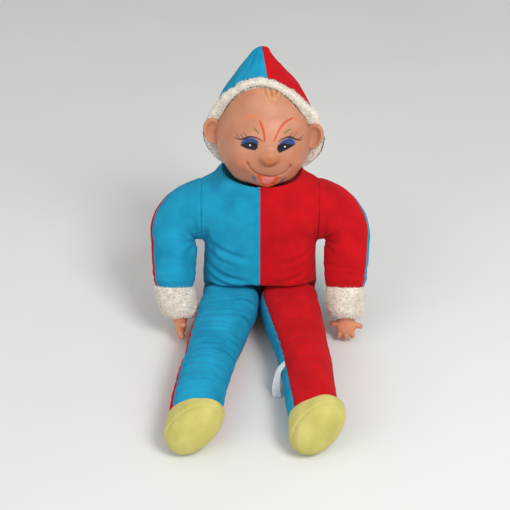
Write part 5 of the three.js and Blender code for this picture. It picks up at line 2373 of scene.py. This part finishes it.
        angle, turn, _, grid = self.skin(
            (self.tip_way, -front, left), lambda way: self.hood_reach(way, 0.0), past, 2 * half, 175,
            np.linspace(0, 1, rows) ** 0.9,
        )
        across, down = runs_of(grid)
        move = seam_pull(seam_ways(across, seams), down, 81, 1.0) * ease(2, 12, down)
        move += SlackCloth(slack=0.015, pressure=2000.0).settle("hood", grid, (12, rows), seams, (2, 2))
        move += 0.6 * wander(grid, 40, 82) + 0.4 * wander(grid, 15, 83)
        drawn = bell(down, 34) * ease(3, 14, down)
        move += 0.9 * drawn * np.sin(turn * 9 + 2 * wander(grid, 30, 84))
        move += ease(20, 60, down) * 0.55 * np.sin(turn * 13 + down / 16 + 2.4 * wander(grid, 44, 85))
        nub = np.hypot(angle - 0.075, 0.5 * (turn - pi + 0.8) * angle)
        move += 4.0 * bell(nub, 0.036) * (turn < pi)
        grid = pushed(grid, move)
        panels = [("hood_left", slice(0, half + 1), RED), ("hood_right", slice(half, None), BLUE)]
        sew(panels, grid, normals_of(grid, True), self.place, "head")

    def hem(self, out: Array, tall: Array, aside: Array) -> None:
        """Overcast thread along the outer edge of the plush, beside and below the ears; its dark strokes are
        also painted shade along that edge.

        Args:
            out: Outward directions along the band.
            tall: Half height of the band.
            aside: Angle from the top of the band, in degrees.
        """
        outer = self.core_reach(out, 0.6) + 2 * tall
        run = np.append(0, np.cumsum(np.linalg.norm(np.diff(out * outer[:, None], axis=0), axis=1)))
        rng = np.random.default_rng(93)
        first, last = self.hem_span
        for side in Side:
            marks = []
            for i, place in enumerate(np.arange(0, run[-1], self.stitch)):
                angle = np.interp(place, run, aside)
                way = np.array([np.interp(place, run, out[:, k]) for k in range(3)])
                if not first < angle < last or way[0] * side.value < 0:
                    continue
                reach = np.interp(place, run, outer)
                over, back = (0.8, 2.2) if i % 2 else (1.9, -2.6)
                far = reach + over + rng.uniform(-0.6, 0.9)
                marks.append(unit(way) * far + self.axis * (back + rng.uniform(-0.5, 0.5)))
            points = self.place.put(np.array(marks))
            # Dark thread strokes, which also stand for painted shade along the plush's outer edge.
            seam = ThreadRun().follow(f"hood_hem_thread_{side.word}", points, self.thread)
            dress(seam, EDGE_SHADE_THREAD, "head")

    def build_trim(self) -> None:
        """Makes the plush band round the face opening and its pile."""
        steps, points = 260, 40
        turn = np.radians(np.linspace(-self.trim_end, self.trim_end, steps))
        out = np.sin(turn)[:, None] * X + np.cos(turn)[:, None] * self.plane_up
        aside = np.abs(np.degrees(turn))
        tall = self.trim_height + self.trim_flare * (ease(15, 65, aside) - ease(100, 138, aside))
        middle = out * (self.core_reach(out, 0.6) + tall)[:, None]
        c, s = superellipse(full_turn(points), 3.0)
        past = (aside - (self.trim_end - self.trim_taper)) / self.trim_taper
        taper = np.sqrt(np.clip(1 - past.clip(0, 1) ** 2, 0, 1))
        high, wide = (tall - 0.7) * taper, (self.trim_width - 0.2) * taper
        grid = (
            middle[:, None]
            + high[:, None, None] * c[None, :, None] * out[:, None]
            + wide[:, None, None] * s[None, :, None] * self.axis
        )
        lumps = 0.6 * wander(grid, 14, 91) + 0.35 * wander(grid, 6, 92)
        outward = unit(grid - middle[:, None])
        grid = grid + (lumps * taper[:, None] * ease(-0.6, 0.2, c)[None, :])[..., None] * outward
        piece = new_piece("hood_trim_plush", solid_data(grid), self.place)
        dress(piece, PLUSH, "head", ["hood_trim"])
        shown = np.count_nonzero(c[: points // 2] > -0.8)
        part = np.ix_(np.arange(3, steps - 3), np.arange(1 - shown, shown) % points)
        PileTufts().cover(
            "hood_trim_pile", "head", self.place, grid[part], outward[part], False, self.trim_tuft, 95
        )
        self.hem(out, tall, aside)

    def build_filling(self) -> None:
        """Makes the ball of wadding under the mask and the hood."""
        high, wide = np.meshgrid(np.linspace(0, pi, 40), full_turn(56), indexing="ij")
        ways = polar(high, wide, Z, X, Y)
        core = self.core_reach(ways, -0.5)
        back = ease(-4, -14, (ways * core[..., None]) @ self.axis)
        hood = np.where(self.in_neck(ways * 66), core, self.hood_reach(ways, 5.2))
        grid = ways * (core + back * (hood - core))[..., None]
        grid[0], grid[-1] = grid[0].mean(0), grid[-1].mean(0)
        stuff("head", grid, self.place, "head")

    def build(self) -> None:
        """Makes every piece of the head."""
        self.build_mask()
        self.build_hood()
        self.build_trim()
        self.build_filling()


@dataclass
class Neck:
    """Stuffed cloth stem between the torso and the head."""

    lean: float = 12.0
    radius: float = 17.6
    depth: float = 88.7
    seat: float = 64.6

    def build(self) -> None:
        """Makes the stem."""
        lean = radians(self.lean)
        axis = np.array([0, math.sin(lean), math.cos(lean)])
        aside = np.array([0, math.cos(lean), -math.sin(lean)])
        turn = full_turn(72)
        ring = np.cos(turn)[:, None] * X + np.sin(turn)[:, None] * aside
        rows = [(0.0, 0.0), (0.5, 0.0), (0.9, 0.1), (1.0, 0.5)]
        rows += [(1.0, z) for z in np.linspace(1.0, 22, 40)]
        rows += [(share, 22.0) for share in np.linspace(0.96, 0, 12)]
        grid = np.array([(-self.depth + z) * axis + self.radius * share * ring for share, z in rows])
        rise = np.array([z for _, z in rows])[:, None]
        gather = 0.3 * np.sin(turn * 17)[None, :] * np.array([s for s, _ in rows])[:, None] * ease(2, 8, rise)
        grid = grid - gather.clip(-0.3, 0.3)[..., None] * ring * 0.9
        far = np.linalg.norm(grid, axis=-1, keepdims=True)
        grid = grid * np.maximum(1, self.seat / np.maximum(far, 1e-6))
        piece = new_piece("neck_stem_cloth", solid_data(grid), Place(np.eye(3), joint_place("head_turn")))
        dress(piece, RED, "neck", ["neck_stem"])


@dataclass
class Studio:
    """Pale floor, soft light and the camera, in metres. A lamp is its name, place, size and watts."""

    eye: tuple = (-0.007, -1.2483, 1.0416)
    down: float = 35.0
    lens: float = 81.18
    room: str = "#eef1f4"
    room_light: float = 0.68
    lamps: tuple = (("key", (0.9, -1.0, 1.7), 0.8, 28.0), ("fill", (-1.3, -1.2, 1.2), 1.4, 11.0))
    lit: tuple = (0, 0.05, 0.15)
    half_floor: float = 6000.0  # millimetres

    def build(self) -> None:
        """Sets the stage."""
        scene = bpy.context.scene
        scene.view_settings.view_transform = "Standard"
        corners = self.half_floor * np.array([[-1, -1, 0], [1, -1, 0], [1, 1, 0], [-1, 1, 0]])
        floor = add_object("floor", new_mesh("floor", corners, np.array([[0, 1, 2, 3]])))
        floor.data.materials.append(PAPER.material)
        camera = add_object("camera", bpy.data.cameras.new("camera"))
        camera.data.lens = self.lens
        camera.data.sensor_width = 36
        camera.location = self.eye
        camera.rotation_euler = (radians(90 - self.down), 0, 0)
        scene.camera = camera
        world = bpy.data.worlds.new("soft_room")
        world.use_nodes = True
        sky = world.node_tree.nodes["Background"].inputs
        sky["Color"].default_value = linear(self.room)
        sky["Strength"].default_value = self.room_light
        scene.world = world
        for name, place, size, watts in self.lamps:
            light = add_object(name, bpy.data.lights.new(name, "AREA"))
            light.data.size = size
            light.data.energy = watts
            light.location = place
            aim = np.array(self.lit) - np.array(place)
            tilt, turn = math.atan2(math.hypot(aim[0], aim[1]), -aim[2]), math.atan2(aim[1], aim[0])
            light.rotation_euler = (tilt, 0, turn - pi / 2)


def main() -> None:
    """Builds the doll, piece by piece."""
    logging.basicConfig(level=logging.INFO, format="%(name)s: %(message)s")
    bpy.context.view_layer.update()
    Studio().build()
    Torso().build()
    Neck().build()
    Head().build()
    for side in Side:
        arm, leg = Arm(side), Leg(side)
        arm.build()
        Cuff(arm).build()
        Hand(arm).build()
        leg.build()
        Shoe(leg).build()
        if side is Side.LEFT:
            Label(leg).build()


if __name__ == "__main__":
    main()
